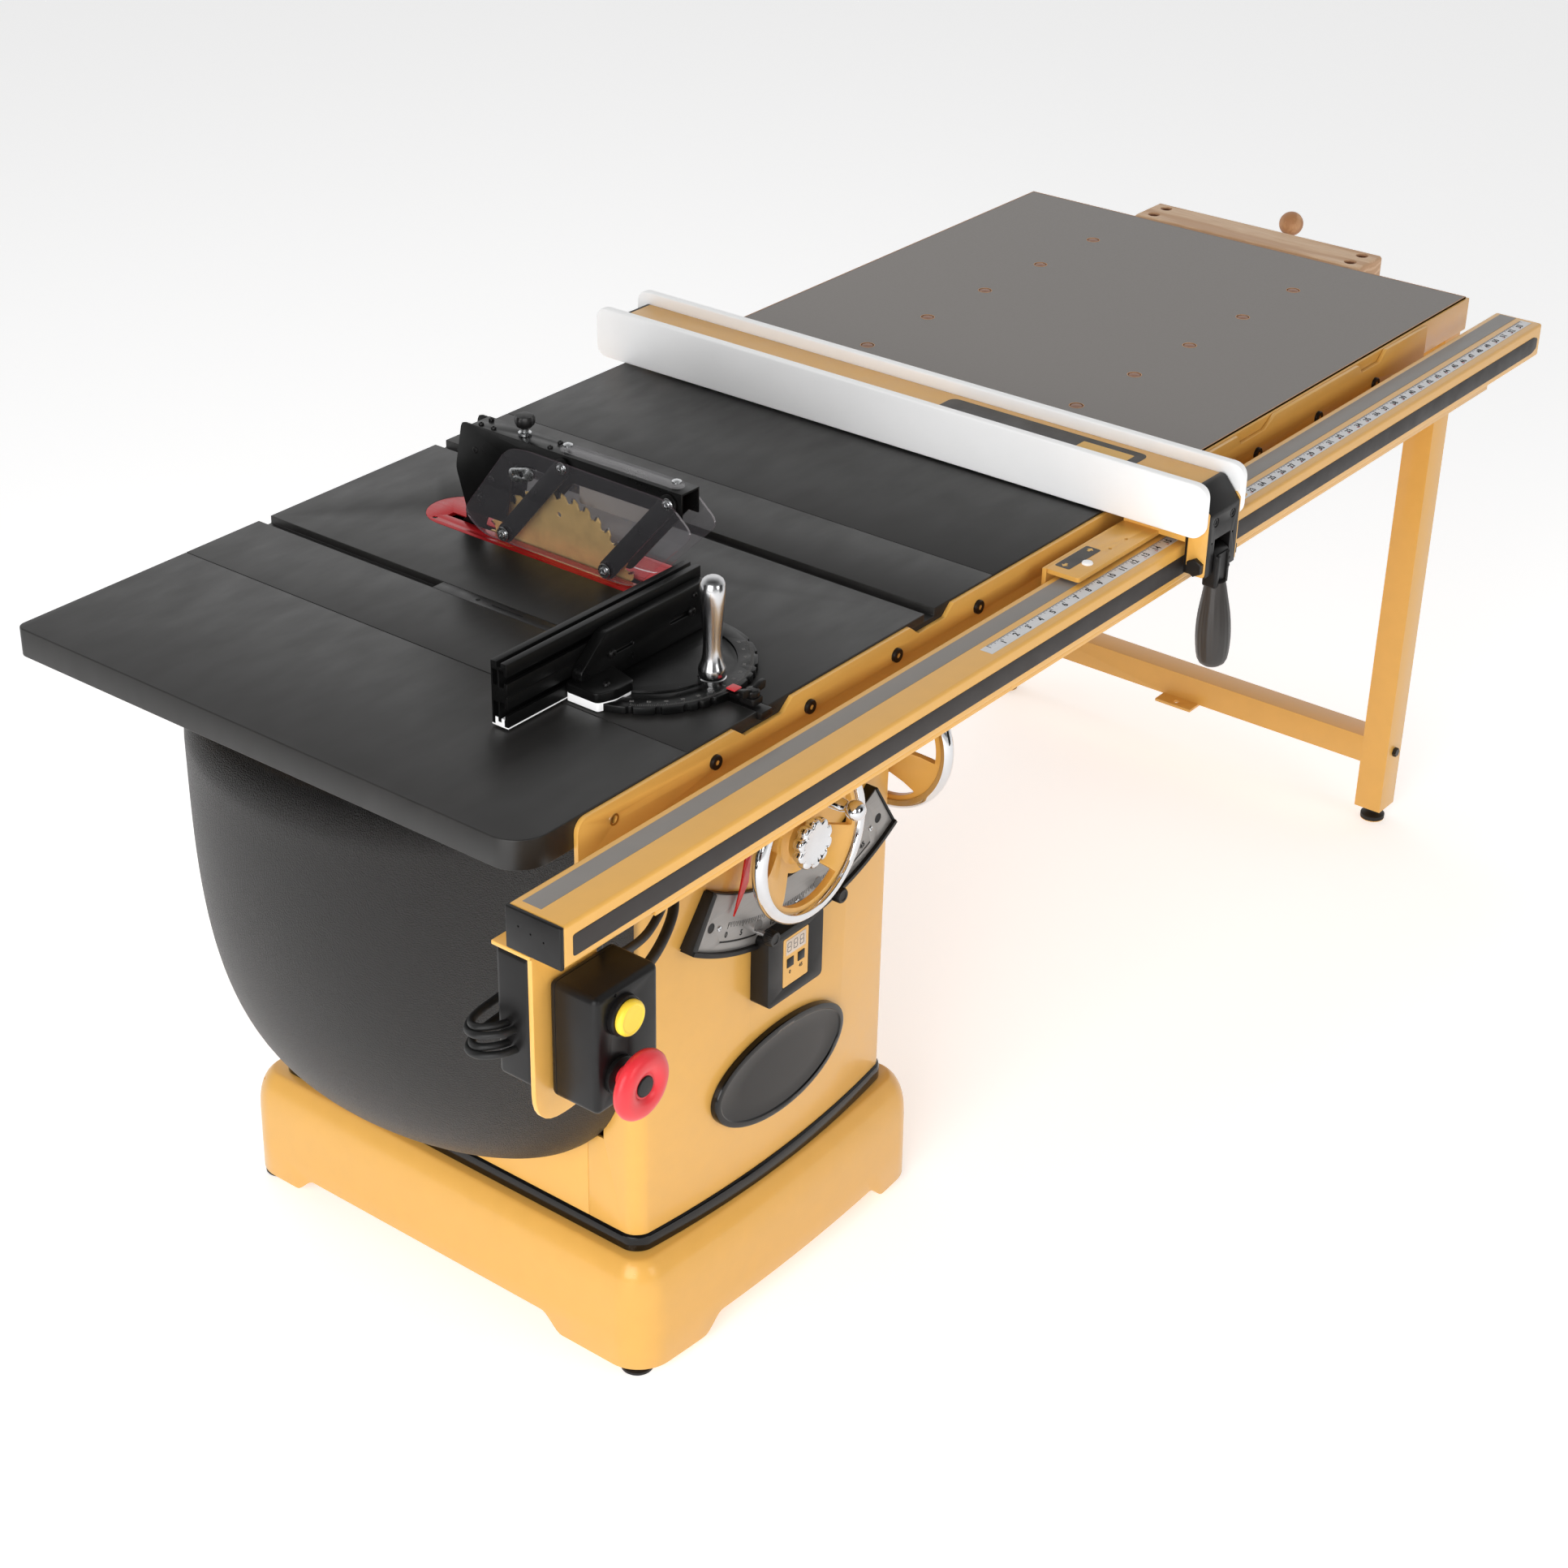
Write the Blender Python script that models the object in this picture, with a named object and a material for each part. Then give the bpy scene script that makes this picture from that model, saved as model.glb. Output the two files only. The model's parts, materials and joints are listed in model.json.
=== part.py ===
"""Cabinet table saw with a left-tilting blade, rip fence, mitre gauge, blade guard and an
extension table with an end vise. Metres, +Z up, +X to the operator's right, +Y to the back.

The pieces are laid out in shop coordinates: x from the zero of the rail tape, y from the
front edge of the cast-iron table, z from the floor. finish() moves each one so that the
world origin is the middle of the footprint, on the floor.
"""
import math

import bmesh
import bpy
from mathutils import Matrix, Vector

# ---------------------------------------------------------------- driving dimensions
GAP = 0.0003                                # clearance between neighbouring pieces
SHOP_ORIGIN = Vector((0.378875, 0.32575, 0))  # middle of the footprint, shop coordinates
UP = Vector((0, 0, 1))

TOP = 0.876                                 # table height
SKIRT_Z = TOP - 0.036                       # underside of the cast-iron skirt
TABLE_D = 0.7768                            # front to back
WING_LEFT, SEAM_LEFT, SEAM_RIGHT, WING_RIGHT = -0.694, -0.435, 0.131, 0.390
SLOT_LEFT = (-0.3169, -0.2975)              # mitre slots, x range
SLOT_RIGHT = (-0.0064, 0.0130)
SLOT_FLOOR = 0.8664

BASE = (-0.4655, 0.0965, 0.0445, 0.725)     # x0, x1, y0, y1
CABINET = (-0.430, 0.061, 0.080, 0.6825)    # x0, x1, y0, y1
CABINET_BOW = 0.020                         # forward bulge of the front wall
CABINET_Z = (0.186, 0.8397)
CABINET_WALL = 0.0035
DUST_PORT = (-0.18, 0.300)                  # x, z
COVER_HINGE = (-0.436, 0.692, 0.55)

BLADE_X = -0.152                            # plane of the blade
TILT_AXIS = (BLADE_X, TOP)                  # x, z; the axis runs along y
THROAT_X = BLADE_X + 0.015                  # centre line of the throat opening
BLADE_R = 0.127
TEETH = 36
ARBOR = (0.4288, 0.829)                     # y, z
MOTOR = (0.360, 0.641)                      # y, z

ANGLE_X = (-0.6157, 1.222)                  # x range of both rail angles
RAIL = (-0.761, 1.377, -0.1115, -0.0385, 0.8095, 0.8585)    # x0, x1, y0, y1, z0, z1
EXTENSION = (0.3903, 1.365, 0.0003, 0.7665)                 # x0, x1, y0, y1
DOG_X = (0.640, 0.785, 0.930, 1.0765, 1.222)
DOG_Y = (0.2125, 0.560)
DOG_R = 0.0095
VISE = (0.372, 0.790)                       # y, z of the vise screw
VISE_BAR_X = 1.500

WHEEL_R = 0.099
WHEEL_ARC_R = 0.213                         # raise shaft, from the tilt axis
WHEEL_ARC_ANGLE = -21.6                     # degrees from straight down, negative to the left
WHEEL_ARC_END = 23.4                        # other end of the raise shaft's travel
RAISE_WHEEL = (BLADE_X + WHEEL_ARC_R * math.sin(math.radians(WHEEL_ARC_ANGLE)), -0.012,
               TOP - WHEEL_ARC_R * math.cos(math.radians(WHEEL_ARC_ANGLE)))
TILT_WHEEL = (0.100, 0.120, 0.634)

FENCE_Y = (-0.145, 0.824)
FENCE_Z = (0.878, 0.948)
LEVER = (0.415, -0.133, 0.837)              # fence lever axis
MITER_PIVOT = (-0.3072, 0.160)              # x, y
MITER_R = 0.121
MITER_BACK_Y = 0.1740                       # back face of the mitre head
MITER_HANDLE = (MITER_PIVOT[0], 0.070)      # x, y

GUARD_X = (-0.1730, -0.1410)
GUARD_KNOB = (-0.157, 0.478)                # x, y
# upper and lower pivot of each pair of guard links, as (y, z)
LINKS = {"rear": ((0.403, 1.002), (0.496, 0.8925)),
         "front": ((0.242, 1.002), (0.335, 0.8925))}

START = (-0.697, 0.738)                     # x, z of the switch buttons
STOP = (-0.703, 0.669)
SWITCH_FACE_Y = -0.133

# material: (colour, roughness, metallic)
PALETTE = {
    "gold": ((0.76, 0.41, 0.09), 0.35, 0.0),
    "cast": ((0.035, 0.034, 0.033), 0.45, 0.3),
    "black": ((0.012, 0.012, 0.012), 0.45, 0.0),
    "laminate": ((0.19, 0.185, 0.18), 0.5, 0.0),
    "white": ((0.86, 0.87, 0.88), 0.4, 0.0),
    "red": ((0.45, 0.02, 0.03), 0.35, 0.0),
    "wood": ((0.64, 0.44, 0.27), 0.6, 0.0),
    "chrome": ((0.80, 0.80, 0.80), 0.12, 1.0),
    "steel": ((0.45, 0.45, 0.46), 0.35, 1.0),
    "brass": ((0.55, 0.38, 0.14), 0.35, 0.9),
    "clear": ((0.75, 0.78, 0.80), 0.1, 0.0),
    "yellow": ((0.85, 0.62, 0.05), 0.4, 0.0),
    "iron": ((0.12, 0.12, 0.12), 0.6, 0.6),
    "rubber": ((0.02, 0.02, 0.02), 0.8, 0.0),
}


def make_material(name, colour, roughness, metallic):
    material = bpy.data.materials.new(name)
    material.use_nodes = True
    inputs = material.node_tree.nodes["Principled BSDF"].inputs
    inputs["Base Color"].default_value = (*colour, 1.0)
    inputs["Roughness"].default_value = roughness
    inputs["Metallic"].default_value = metallic
    material.diffuse_color = (*colour, 1.0)
    return material


# ---------------------------------------------------------------- outlines (2-D points)
def arc(centre, radius, start, end, steps):
    """Points from one angle to another, in degrees."""
    angles = [math.radians(start + (end - start) * k / steps) for k in range(steps + 1)]
    return [(centre[0] + radius * math.cos(a), centre[1] + radius * math.sin(a)) for a in angles]


def sector(inner, outer, start, end, steps=14, centre=TILT_AXIS):
    """Ring segment; angles in degrees from straight down."""
    start, end = start - 90, end - 90
    return arc(centre, outer, start, end, steps) + arc(centre, inner, end, start, steps)


def stadium(p, q, radius, steps=6):
    """Outline of a bar with round ends between two points."""
    a = math.degrees(math.atan2(q[1] - p[1], q[0] - p[0]))
    return arc(q, radius, a - 90, a + 90, steps) + arc(p, radius, a + 90, a + 270, steps)


def rounded(points, radius, steps):
    """Replaces every corner of an outline by a quadratic curve."""
    out = []
    for i, point in enumerate(points):
        corner = Vector(point)
        back = Vector(points[i - 1]) - corner
        ahead = Vector(points[(i + 1) % len(points)]) - corner
        reach = min(radius, 0.45 * back.length, 0.45 * ahead.length)
        back.normalize()
        ahead.normalize()
        for k in range(steps + 1):
            t = k / steps
            out.append(tuple(corner + back * reach * (1 - t) ** 2 + ahead * reach * t ** 2))
    return out


def rounded_rect(a0, a1, b0, b1, radius, steps):
    return rounded([(a0, b0), (a1, b0), (a1, b1), (a0, b1)], radius, steps)


def bowed_plan(rect, radius, bow, grow=0.0):
    """Rounded rectangle seen from above, its front edge bowed forward."""
    x0, x1, y0, y1 = rect[0] - grow, rect[1] + grow, rect[2] - grow, rect[3] + grow
    middle, half = (x0 + x1) / 2, (x1 - x0) / 2
    left, right, front, back = x0 + radius, x1 - radius, y0 + radius, y1 - radius
    front_steps, corner_steps = 6, 4

    def forward(x):
        return bow * (1 - ((x - middle) / half) ** 2)

    points = []
    for cx, cy, start in ((left, front, 180), (right, front, 270), (right, back, 0),
                          (left, back, 90)):
        if start == 270:
            for k in range(1, front_steps):
                x = left + (x1 - x0 - 2 * radius) * k / front_steps
                points.append((x, y0 - forward(x)))
        for x, y in arc((cx, cy), radius, start, start + 90, corner_steps):
            if start in (180, 270):
                y -= forward(x) * (cy - y) / radius     # nothing at the side, full in front
            points.append((x, y))
    return points


# ---------------------------------------------------------------- solids
def from_bmesh(bm):
    bmesh.ops.recalc_face_normals(bm, faces=bm.faces)
    mesh = bpy.data.meshes.new("shape")
    bm.to_mesh(mesh)
    bm.free()
    obj = bpy.data.objects.new("shape", mesh)
    bpy.context.scene.collection.objects.link(obj)
    return obj


def box(x0, x1, y0, y1, z0, z1, bevel=0.0, segments=2):
    bm = bmesh.new()
    bmesh.ops.create_cube(bm, size=1.0)
    for v in bm.verts:
        v.co = Vector((x0 + (v.co.x + 0.5) * (x1 - x0), y0 + (v.co.y + 0.5) * (y1 - y0),
                       z0 + (v.co.z + 0.5) * (z1 - z0)))
    if bevel:
        bmesh.ops.bevel(bm, geom=bm.edges[:], offset=bevel, segments=segments,
                        affect="EDGES", profile=0.5)
    return from_bmesh(bm)


def place(point, axis, height):
    """A 2-D point is (y, z) for axis x, (x, z) for y and (x, y) for z."""
    a, b = point
    return {"x": (height, a, b), "y": (a, height, b), "z": (a, b, height)}[axis]


def prism(points, axis, start, end):
    """A closed outline pushed along an axis."""
    bm = bmesh.new()
    low = [bm.verts.new(place(p, axis, start)) for p in points]
    high = [bm.verts.new(place(p, axis, end)) for p in points]
    bm.faces.new(low)
    bm.faces.new(high[::-1])
    for i in range(len(points)):
        j = (i + 1) % len(points)
        bm.faces.new((low[i], high[i], high[j], low[j]))
    return from_bmesh(bm)


def lathe(profile, at, axis, steps=16):
    """Turns a closed outline of (radius, height) about an axis through a point."""
    turn = UP.rotation_difference(Vector(axis)).to_matrix().to_4x4()
    to_place = Matrix.Translation(Vector(at)) @ turn
    angles = [2 * math.pi * k / steps for k in range(steps)]
    bm = bmesh.new()
    rings = []
    for r, h in profile:
        if r < 1e-7:
            ring = [Vector((0, 0, h))]
        else:
            ring = [Vector((r * math.cos(t), r * math.sin(t), h)) for t in angles]
        rings.append([bm.verts.new(to_place @ p) for p in ring])
    for a, b in zip(rings, rings[1:] + rings[:1]):
        if len(a) == 1 and len(b) == 1:
            continue
        for k in range(steps):
            j = (k + 1) % steps
            if len(a) == 1:
                bm.faces.new((a[0], b[j], b[k]))
            elif len(b) == 1:
                bm.faces.new((a[k], a[j], b[0]))
            else:
                bm.faces.new((a[k], a[j], b[j], b[k]))
    return from_bmesh(bm)


def cylinder(p, q, radius, steps):
    p, q = Vector(p), Vector(q)
    h = (q - p).length
    return lathe([(0, 0), (radius, 0), (radius, h), (0, h)], p, (q - p) / h, steps)


def rod(centre, axis, start, end, radius, steps=14):
    """Cylinder along x, y or z; centre as in place()."""
    return cylinder(place(centre, axis, start), place(centre, axis, end), radius, steps)


def ball(at, radius, steps=12, rings=6):
    angles = [math.pi * k / rings for k in range(rings + 1)]
    return lathe([(radius * math.sin(a), -radius * math.cos(a)) for a in angles], at, UP, steps)


def loft(rings):
    """Joins closed rings of equal count and caps both ends."""
    bm = bmesh.new()
    rows = [[bm.verts.new(p) for p in ring] for ring in rings]
    count = len(rows[0])
    for a, b in zip(rows, rows[1:]):
        for k in range(count):
            j = (k + 1) % count
            bm.faces.new((a[k], a[j], b[j], b[k]))
    bm.faces.new(rows[0][::-1])
    bm.faces.new(rows[-1])
    return from_bmesh(bm)


def catmull_rom(points, steps=3):
    """Smooth line through points, with the given steps per span."""
    points = [Vector(p) for p in points]
    points = [points[0] * 2 - points[1]] + points + [points[-1] * 2 - points[-2]]
    line = []
    for i in range(1, len(points) - 2):
        a, b, c, d = points[i - 1:i + 3]
        for k in range(steps):
            t = k / steps
            line.append(0.5 * ((2 * b) + (c - a) * t + (2 * a - 5 * b + 4 * c - d) * t * t
                               + (3 * b - a - 3 * c + d) * t ** 3))
    return line + [points[-2]]


def tube(points, radius, steps=6):
    """A round cable smoothed through points."""
    line = catmull_rom(points)
    angles = [2 * math.pi * k / steps for k in range(steps)]
    rings, side = [], None
    for i, p in enumerate(line):
        ahead = (line[min(i + 1, len(line) - 1)] - line[max(i - 1, 0)]).normalized()
        if side is None:
            side = ahead.orthogonal().normalized()
        side = (side - ahead * side.dot(ahead)).normalized()
        up = ahead.cross(side)
        rings.append([p + (side * math.cos(t) + up * math.sin(t)) * radius for t in angles])
    return loft(rings)


def merge(base, add=(), cut=()):
    """Boolean union with the shapes in add, then the cuts; uses up both."""
    for operation, tools in (("UNION", add), ("DIFFERENCE", cut)):
        for tool in tools:
            modifier = base.modifiers.new("boolean", "BOOLEAN")
            modifier.operation = operation
            modifier.solver = "EXACT"
            modifier.object = tool
            bpy.context.view_layer.update()
            graph = bpy.context.evaluated_depsgraph_get()
            mesh = bpy.data.meshes.new_from_object(base.evaluated_get(graph))
            base.modifiers.clear()
            base.data = mesh
            bpy.data.objects.remove(tool, do_unlink=True)
    return base


def finish(name, obj, material, pivot=(0, 0, 0)):
    """Names a piece, gives it its material and puts its origin on its joint's axis."""
    obj.name = name
    mesh = obj.data
    mesh.name = name
    bm = bmesh.new()
    bm.from_mesh(mesh)
    bmesh.ops.remove_doubles(bm, verts=bm.verts, dist=2e-6)
    bmesh.ops.dissolve_degenerate(bm, edges=bm.edges, dist=2e-6)
    bm.to_mesh(mesh)
    bm.free()
    mesh.materials.clear()
    mesh.materials.append(MATERIALS[material])
    for poly in mesh.polygons:
        poly.material_index = 0
    pivot = Vector(pivot)
    mesh.transform(Matrix.Translation(-pivot))
    obj.location = pivot - SHOP_ORIGIN
    mesh.shade_smooth()
    mesh.set_sharp_from_angle(angle=math.radians(32))


# ---------------------------------------------------------------- base and cabinet
def foot(x, y, pad_r, pad_h, stem_r, stem_z, height):
    """Round pad on the floor with a stem; the pad tapers to the stem at stem_z."""
    return lathe([(0, 0), (pad_r, 0), (pad_r, pad_h), (stem_r, stem_z), (stem_r, height),
                  (0, height)], (x, y, 0), UP)


def build_base():
    # z, inset from the full outline
    stations = ((0.012, 0.0), (0.120, 0.0015), (0.141, 0.005), (0.154, 0.011), (0.163, 0.0205))
    base = loft([[(x, y, z) for x, y in bowed_plan(BASE, 0.045 - inset, 0.014, -inset)]
                 for z, inset in stations])
    cavity = box(-0.448, 0.079, 0.068, 0.705, -0.02, 0.150)
    # openings along the floor, through front and back and through both sides
    along_y = prism([(-0.352, -0.01), (-0.330, 0.035), (-0.010, 0.035), (0.012, -0.01)],
                    "y", -0.02, 0.80)
    along_x = prism([(0.176, -0.01), (0.205, 0.035), (0.605, 0.035), (0.634, -0.01)],
                    "x", -0.60, 0.20)
    merge(base, cut=(cavity, along_y, along_x))
    corners = [(x, y) for y in (0.092, 0.678) for x in (-0.425, 0.056)]
    half = 0.034
    blocks = [box(x - half, x + half, y - half, y + half, 0.0125, 0.040) for x, y in corners]
    feet = [foot(x, y, 0.020, 0.006, 0.0075, 0.009, 0.030) for x, y in corners]
    merge(base, add=blocks + feet)
    finish("base_plinth", base, "gold")


def build_trim_band():
    # z, growth beyond the cabinet outline
    stations = ((0.1633, 0.003), (0.178, 0.003), (0.1857, 0.0))
    band = loft([[(x, y, z) for x, y in bowed_plan(CABINET, 0.022, 0.021, grow)]
                 for z, grow in stations])
    merge(band, cut=(box(-0.408, 0.039, 0.105, 0.660, 0.15, 0.20),))
    finish("trim_band", band, "black")


def build_cabinet():
    shell = prism(bowed_plan(CABINET, 0.020, CABINET_BOW), "z", *CABINET_Z)
    inside = prism(bowed_plan(CABINET, 0.017, CABINET_BOW, -CABINET_WALL), "z", 0.17, 0.86)
    left_opening = box(-0.45, -0.41, 0.130, 0.640, 0.310, 0.770)
    half_slot, end_angle = 0.014, 4.5
    shaft_slot = prism(sector(WHEEL_ARC_R - half_slot, WHEEL_ARC_R + half_slot,
                              WHEEL_ARC_ANGLE - end_angle, WHEEL_ARC_END + end_angle),
                       "y", 0.02, 0.12)
    tilt_hole = rod(TILT_WHEEL[1:], "x", 0.03, 0.09, 0.0150)
    dust_hole = rod(DUST_PORT, "y", 0.65, 0.72, 0.048, 28)
    merge(shell, cut=(inside, left_opening, shaft_slot, tilt_hole, dust_hole))
    finish("cabinet_shell", shell, "gold")


def cover_rings(half_width, bulge, bottom, top, lip=(0.0, 0.0), overrun=None):
    """Half super-ellipses in plan whose width and bulge close in towards the bottom.

    lip is the loss of bulge at the two top rings; overrun carries the flat side past the wall.
    """
    middle_y, shoulder = 0.3835, 0.7138
    wall_x = CABINET[0] - GAP
    lower_rings, first_angle, steps = 8, 0.16, 18
    stations = []                           # z, loss of bulge
    for k in range(lower_rings):
        angle = first_angle + (math.pi / 2 - first_angle) * k / (lower_rings - 1)
        stations.append((bottom + (shoulder - bottom) * (1 - math.cos(angle)), 0.0))
    stations += [(top - 0.010, 0.0), (top - 0.003, lip[0]), (top, lip[1])]
    rings = []
    for z, loss in stations:
        t = max(0.0, (shoulder - z) / (shoulder - bottom))
        width = half_width * (1 - t ** 4.0) ** (1 / 4.0)
        depth = bulge * ((1 - t ** 2.42) ** (1 / 2.42) - loss)
        ring = []
        for k in range(steps + 1):
            a = math.pi * k / steps
            ring.append((wall_x - depth * max(0.0, math.sin(a)), middle_y - width * math.cos(a), z))
        if overrun:
            ring += [(wall_x + overrun, ring[-1][1], z), (wall_x + overrun, ring[0][1], z)]
        rings.append(ring)
    return rings


def build_motor_cover():
    cover = loft(cover_rings(0.3035, 0.2577, 0.2519, 0.800, lip=(0.012, 0.035)))
    hollow = loft(cover_rings(0.2985, 0.2530, 0.2575, 0.795, overrun=0.02))
    merge(cover, cut=(hollow,))
    finish("motor_cover", cover, "black", COVER_HINGE)


def build_dust_port():
    port = box(-0.245, -0.115, 0.6828, 0.6868, 0.235, 0.365)
    merge(port, add=(rod(DUST_PORT, "y", 0.684, 0.745, 0.051, 28),),
          cut=(rod(DUST_PORT, "y", 0.66, 0.76, 0.047, 28),))
    finish("dust_port", port, "black")


def cabinet_cutter():
    """Trims pieces to the bowed cabinet front, leaving the gap."""
    return prism(bowed_plan(CABINET, 0.02, CABINET_BOW, GAP), "z", 0.10, 0.87)


def build_badge():
    steps = 36
    angles = [2 * math.pi * k / steps for k in range(steps)]
    badge = prism([(-0.185 + 0.126 * math.cos(a), 0.318 + 0.064 * math.sin(a)) for a in angles],
                  "y", 0.0500, 0.10)
    merge(badge, cut=(cabinet_cutter(),))
    finish("badge_plate", badge, "black")


def build_bevel_scale():
    """A ring plate with a raised rim along its bottom and both ends."""
    centre = (-0.1676, TOP)
    scale = prism(sector(0.292, 0.3660, -31.6, 32.2, 12, centre), "y", 0.0545, 0.10)
    # inner and outer radius, first and last angle, steps, y range
    rims = [prism(sector(inner, outer, start, end, steps, centre), "y", y0, y1)
            for inner, outer, start, end, steps, y0, y1 in (
                (0.3605, 0.3690, -31.8, 32.4, 12, 0.0500, 0.098),
                (0.300, 0.364, -32.2, -30.6, 3, 0.0520, 0.094),
                (0.300, 0.364, 31.2, 32.6, 3, 0.0520, 0.092))]
    merge(scale, add=rims, cut=(cabinet_cutter(),))
    finish("bevel_scale", scale, "black")


def build_readout():
    body = box(-0.243, -0.138, 0.0345, 0.10, 0.435, 0.5062)
    hood = box(-0.243, -0.138, 0.0340, 0.0427, 0.472, 0.527)
    merge(body, add=(hood,), cut=(cabinet_cutter(),))
    finish("digital_readout", body, "black")


# ---------------------------------------------------------------- tables
def throat_shape(radius, z0, z1):
    return prism(stadium((THROAT_X, 0.28), (THROAT_X, 0.605), radius, 10), "z", z0, z1)


def build_main_table():
    table = box(SEAM_LEFT, SEAM_RIGHT, 0.0, TABLE_D, SKIRT_Z, TOP)
    # pockets from below: x0, x1, y0, y1, ceiling
    pockets = [box(x0, x1, y0, y1, 0.82, z) for x0, x1, y0, y1, z in (
        (-0.425, -0.330, 0.010, 0.767, 0.866), (-0.2835, -0.020, 0.150, 0.700, 0.8625),
        (-0.2835, -0.020, 0.010, 0.140, 0.866), (-0.2835, -0.020, 0.710, 0.767, 0.866),
        (0.026, 0.121, 0.010, 0.767, 0.866))]
    opening = box(-0.172, -0.106, 0.264, 0.621, 0.84, 0.89)
    recess = throat_shape(0.0453, 0.8697, 0.90)
    slots = [box(*slot, -0.01, 0.80, SLOT_FLOOR, 0.89) for slot in (SLOT_LEFT, SLOT_RIGHT)]
    merge(table, cut=pockets + [opening, recess] + slots)
    finish("main_table", table, "cast")


def build_wings():
    front_r, back_r = 0.038, 0.012
    right = SEAM_LEFT - GAP
    outline = arc((WING_LEFT + front_r, front_r), front_r, 180, 270, 8)
    outline += [(right, 0), (right, TABLE_D)]
    outline += arc((WING_LEFT + back_r, TABLE_D - back_r), back_r, 90, 180, 8)
    wing = prism(outline, "z", SKIRT_Z, TOP)
    merge(wing, cut=(box(-0.683, -0.570, 0.040, 0.762, 0.82, 0.867),
                     box(-0.560, -0.447, 0.015, 0.762, 0.82, 0.867)))
    finish("left_wing", wing, "cast")

    wing = box(SEAM_RIGHT + GAP, WING_RIGHT - GAP, 0, TABLE_D, SKIRT_Z, TOP)
    merge(wing, cut=[box(x0, x1, 0.012, 0.765, 0.82, 0.867)
                     for x0, x1 in ((0.142, 0.255), (0.265, 0.379))])
    finish("right_wing", wing, "cast")


def build_throat_insert():
    insert = throat_shape(0.045, 0.8700, TOP)
    blade_slot = prism([(-0.1568, 0.868), (-0.138, 0.868), (-0.1472, 0.8765), (-0.1472, 0.88),
                        (-0.1568, 0.88)], "y", 0.286, 0.612)
    screw_hole = rod((-0.171, 0.619), "z", 0.8735, 0.88, 0.0035, 12)
    merge(insert, cut=(blade_slot, screw_hole))
    finish("throat_insert", insert, "red")


# ---------------------------------------------------------------- rails
def build_front_angle():
    left, right = ANGLE_X
    bottom, dip, top = 0.8032, 0.860, 0.8735
    corner_r = 0.016
    outline = [(left, bottom), (right, bottom), (right, top)]
    # dips in the top edge, right to left: x at top, bottom, bottom, top
    for a, b, c, d in ((1.099, 1.082, 1.030, 1.018), (0.788, 0.762, 0.699, 0.690),
                       (0.043, 0.028, -0.025, -0.042), (-0.261, -0.278, -0.344, -0.362)):
        outline += [(a, top), (b, dip), (c, dip), (d, top)]
    outline += arc((left + corner_r, top - corner_r), corner_r, 90, 180, 6)
    angle = prism(outline, "y", -0.0060, -GAP)
    bolt_places = [(x, 0.850) for x in (-0.396, -0.2315, -0.069, 0.094)]
    bolt_places += [(x, 0.832) for x in (0.746, 0.910, 1.072)]
    bolts = [rod(p, "y", -0.0098, -0.003, 0.0085, 12) for p in bolt_places]
    flange = box(left, right, -0.1085, -0.0010, bottom, 0.8092)
    merge(angle, add=[flange] + bolts,
          cut=(rod((-0.5595, 0.852), "y", -0.02, 0.01, 0.0045, 12),))
    finish("front_rail_angle", angle, "gold")


def build_rear_angle():
    angle = box(*ANGLE_X, 0.7771, 0.7831, 0.8035, 0.8620)
    merge(angle, add=(box(*ANGLE_X, 0.7780, 0.8150, 0.8035, 0.8095),))
    finish("rear_rail_angle", angle, "gold")


def build_rail_tube():
    """Square tube, closed on the left and open on the right."""
    wall = 0.0035
    x0, x1, y0, y1, z0, z1 = RAIL
    rail = box(*RAIL, bevel=0.004)
    merge(rail, cut=(box(x0 + 0.006, x1 + 0.05, y0 + wall, y1 - wall, z0 + wall, z1 - wall),))
    finish("front_rail_tube", rail, "gold")


# ---------------------------------------------------------------- extension table and vise
def build_extension_frame():
    x0, x1, y0, y1 = EXTENSION
    wall = 0.004
    frame = box(*EXTENSION, 0.826, 0.874)
    inside = box(x0 + wall, x1 - wall, y0 + wall, y1 - wall, 0.81, 0.89)
    left_notch = box(x0 - 0.01, x0 + 0.0055, y0 + wall, y1 - wall, 0.850, 0.89)
    merge(frame, cut=(inside, left_notch))
    shelf = box(x0 + 0.002, x1 - 0.002, y0 + 0.002, y1 - 0.002, 0.8460, 0.8500)
    merge(shelf, cut=(box(0.420, 1.335, 0.030, 0.735, 0.83, 0.86),))
    y = VISE[0]
    vise_plate = box(1.250, 1.345, y - 0.045, y + 0.045, 0.8445, 0.8500)
    vise_nut = box(1.262, 1.308, y - 0.028, y + 0.028, 0.766, 0.8470)
    merge(frame, add=(shelf, vise_plate, vise_nut), cut=(rod(VISE, "x", 1.24, 1.33, 0.0108, 16),))
    finish("extension_frame", frame, "gold")


def build_extension_top():
    x0, x1, y0, y1 = EXTENSION
    inset = 0.0043
    top = box(x0, x1 - inset, y0 + inset, y1 - inset, 0.8503, TOP)
    merge(top, cut=[rod((x, y), "z", 0.83, 0.89, DOG_R, 10) for x in DOG_X for y in DOG_Y])
    finish("extension_top", top, "laminate")


def build_legs():
    front_leg = box(1.312, 1.359, 0.0046, 0.0490, 0.0246, 0.8257)
    rear_leg = box(1.312, 1.359, 0.7150, 0.7600, 0.0246, 0.8257)
    stretcher = box(1.3125, 1.3585, 0.040, 0.724, 0.104, 0.149)
    tab = box(1.286, 1.330, 0.348, 0.414, 0.1005, 0.1050)
    feet = [foot(1.3355, y, 0.019, 0.008, 0.009, 0.012, 0.040) for y in (0.0268, 0.7370)]
    merge(front_leg, add=[rear_leg, stretcher, tab] + feet,
          cut=(rod((1.2985, 0.381), "z", 0.09, 0.12, 0.005, 12),))
    finish("leg_frame", front_leg, "gold")


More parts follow.
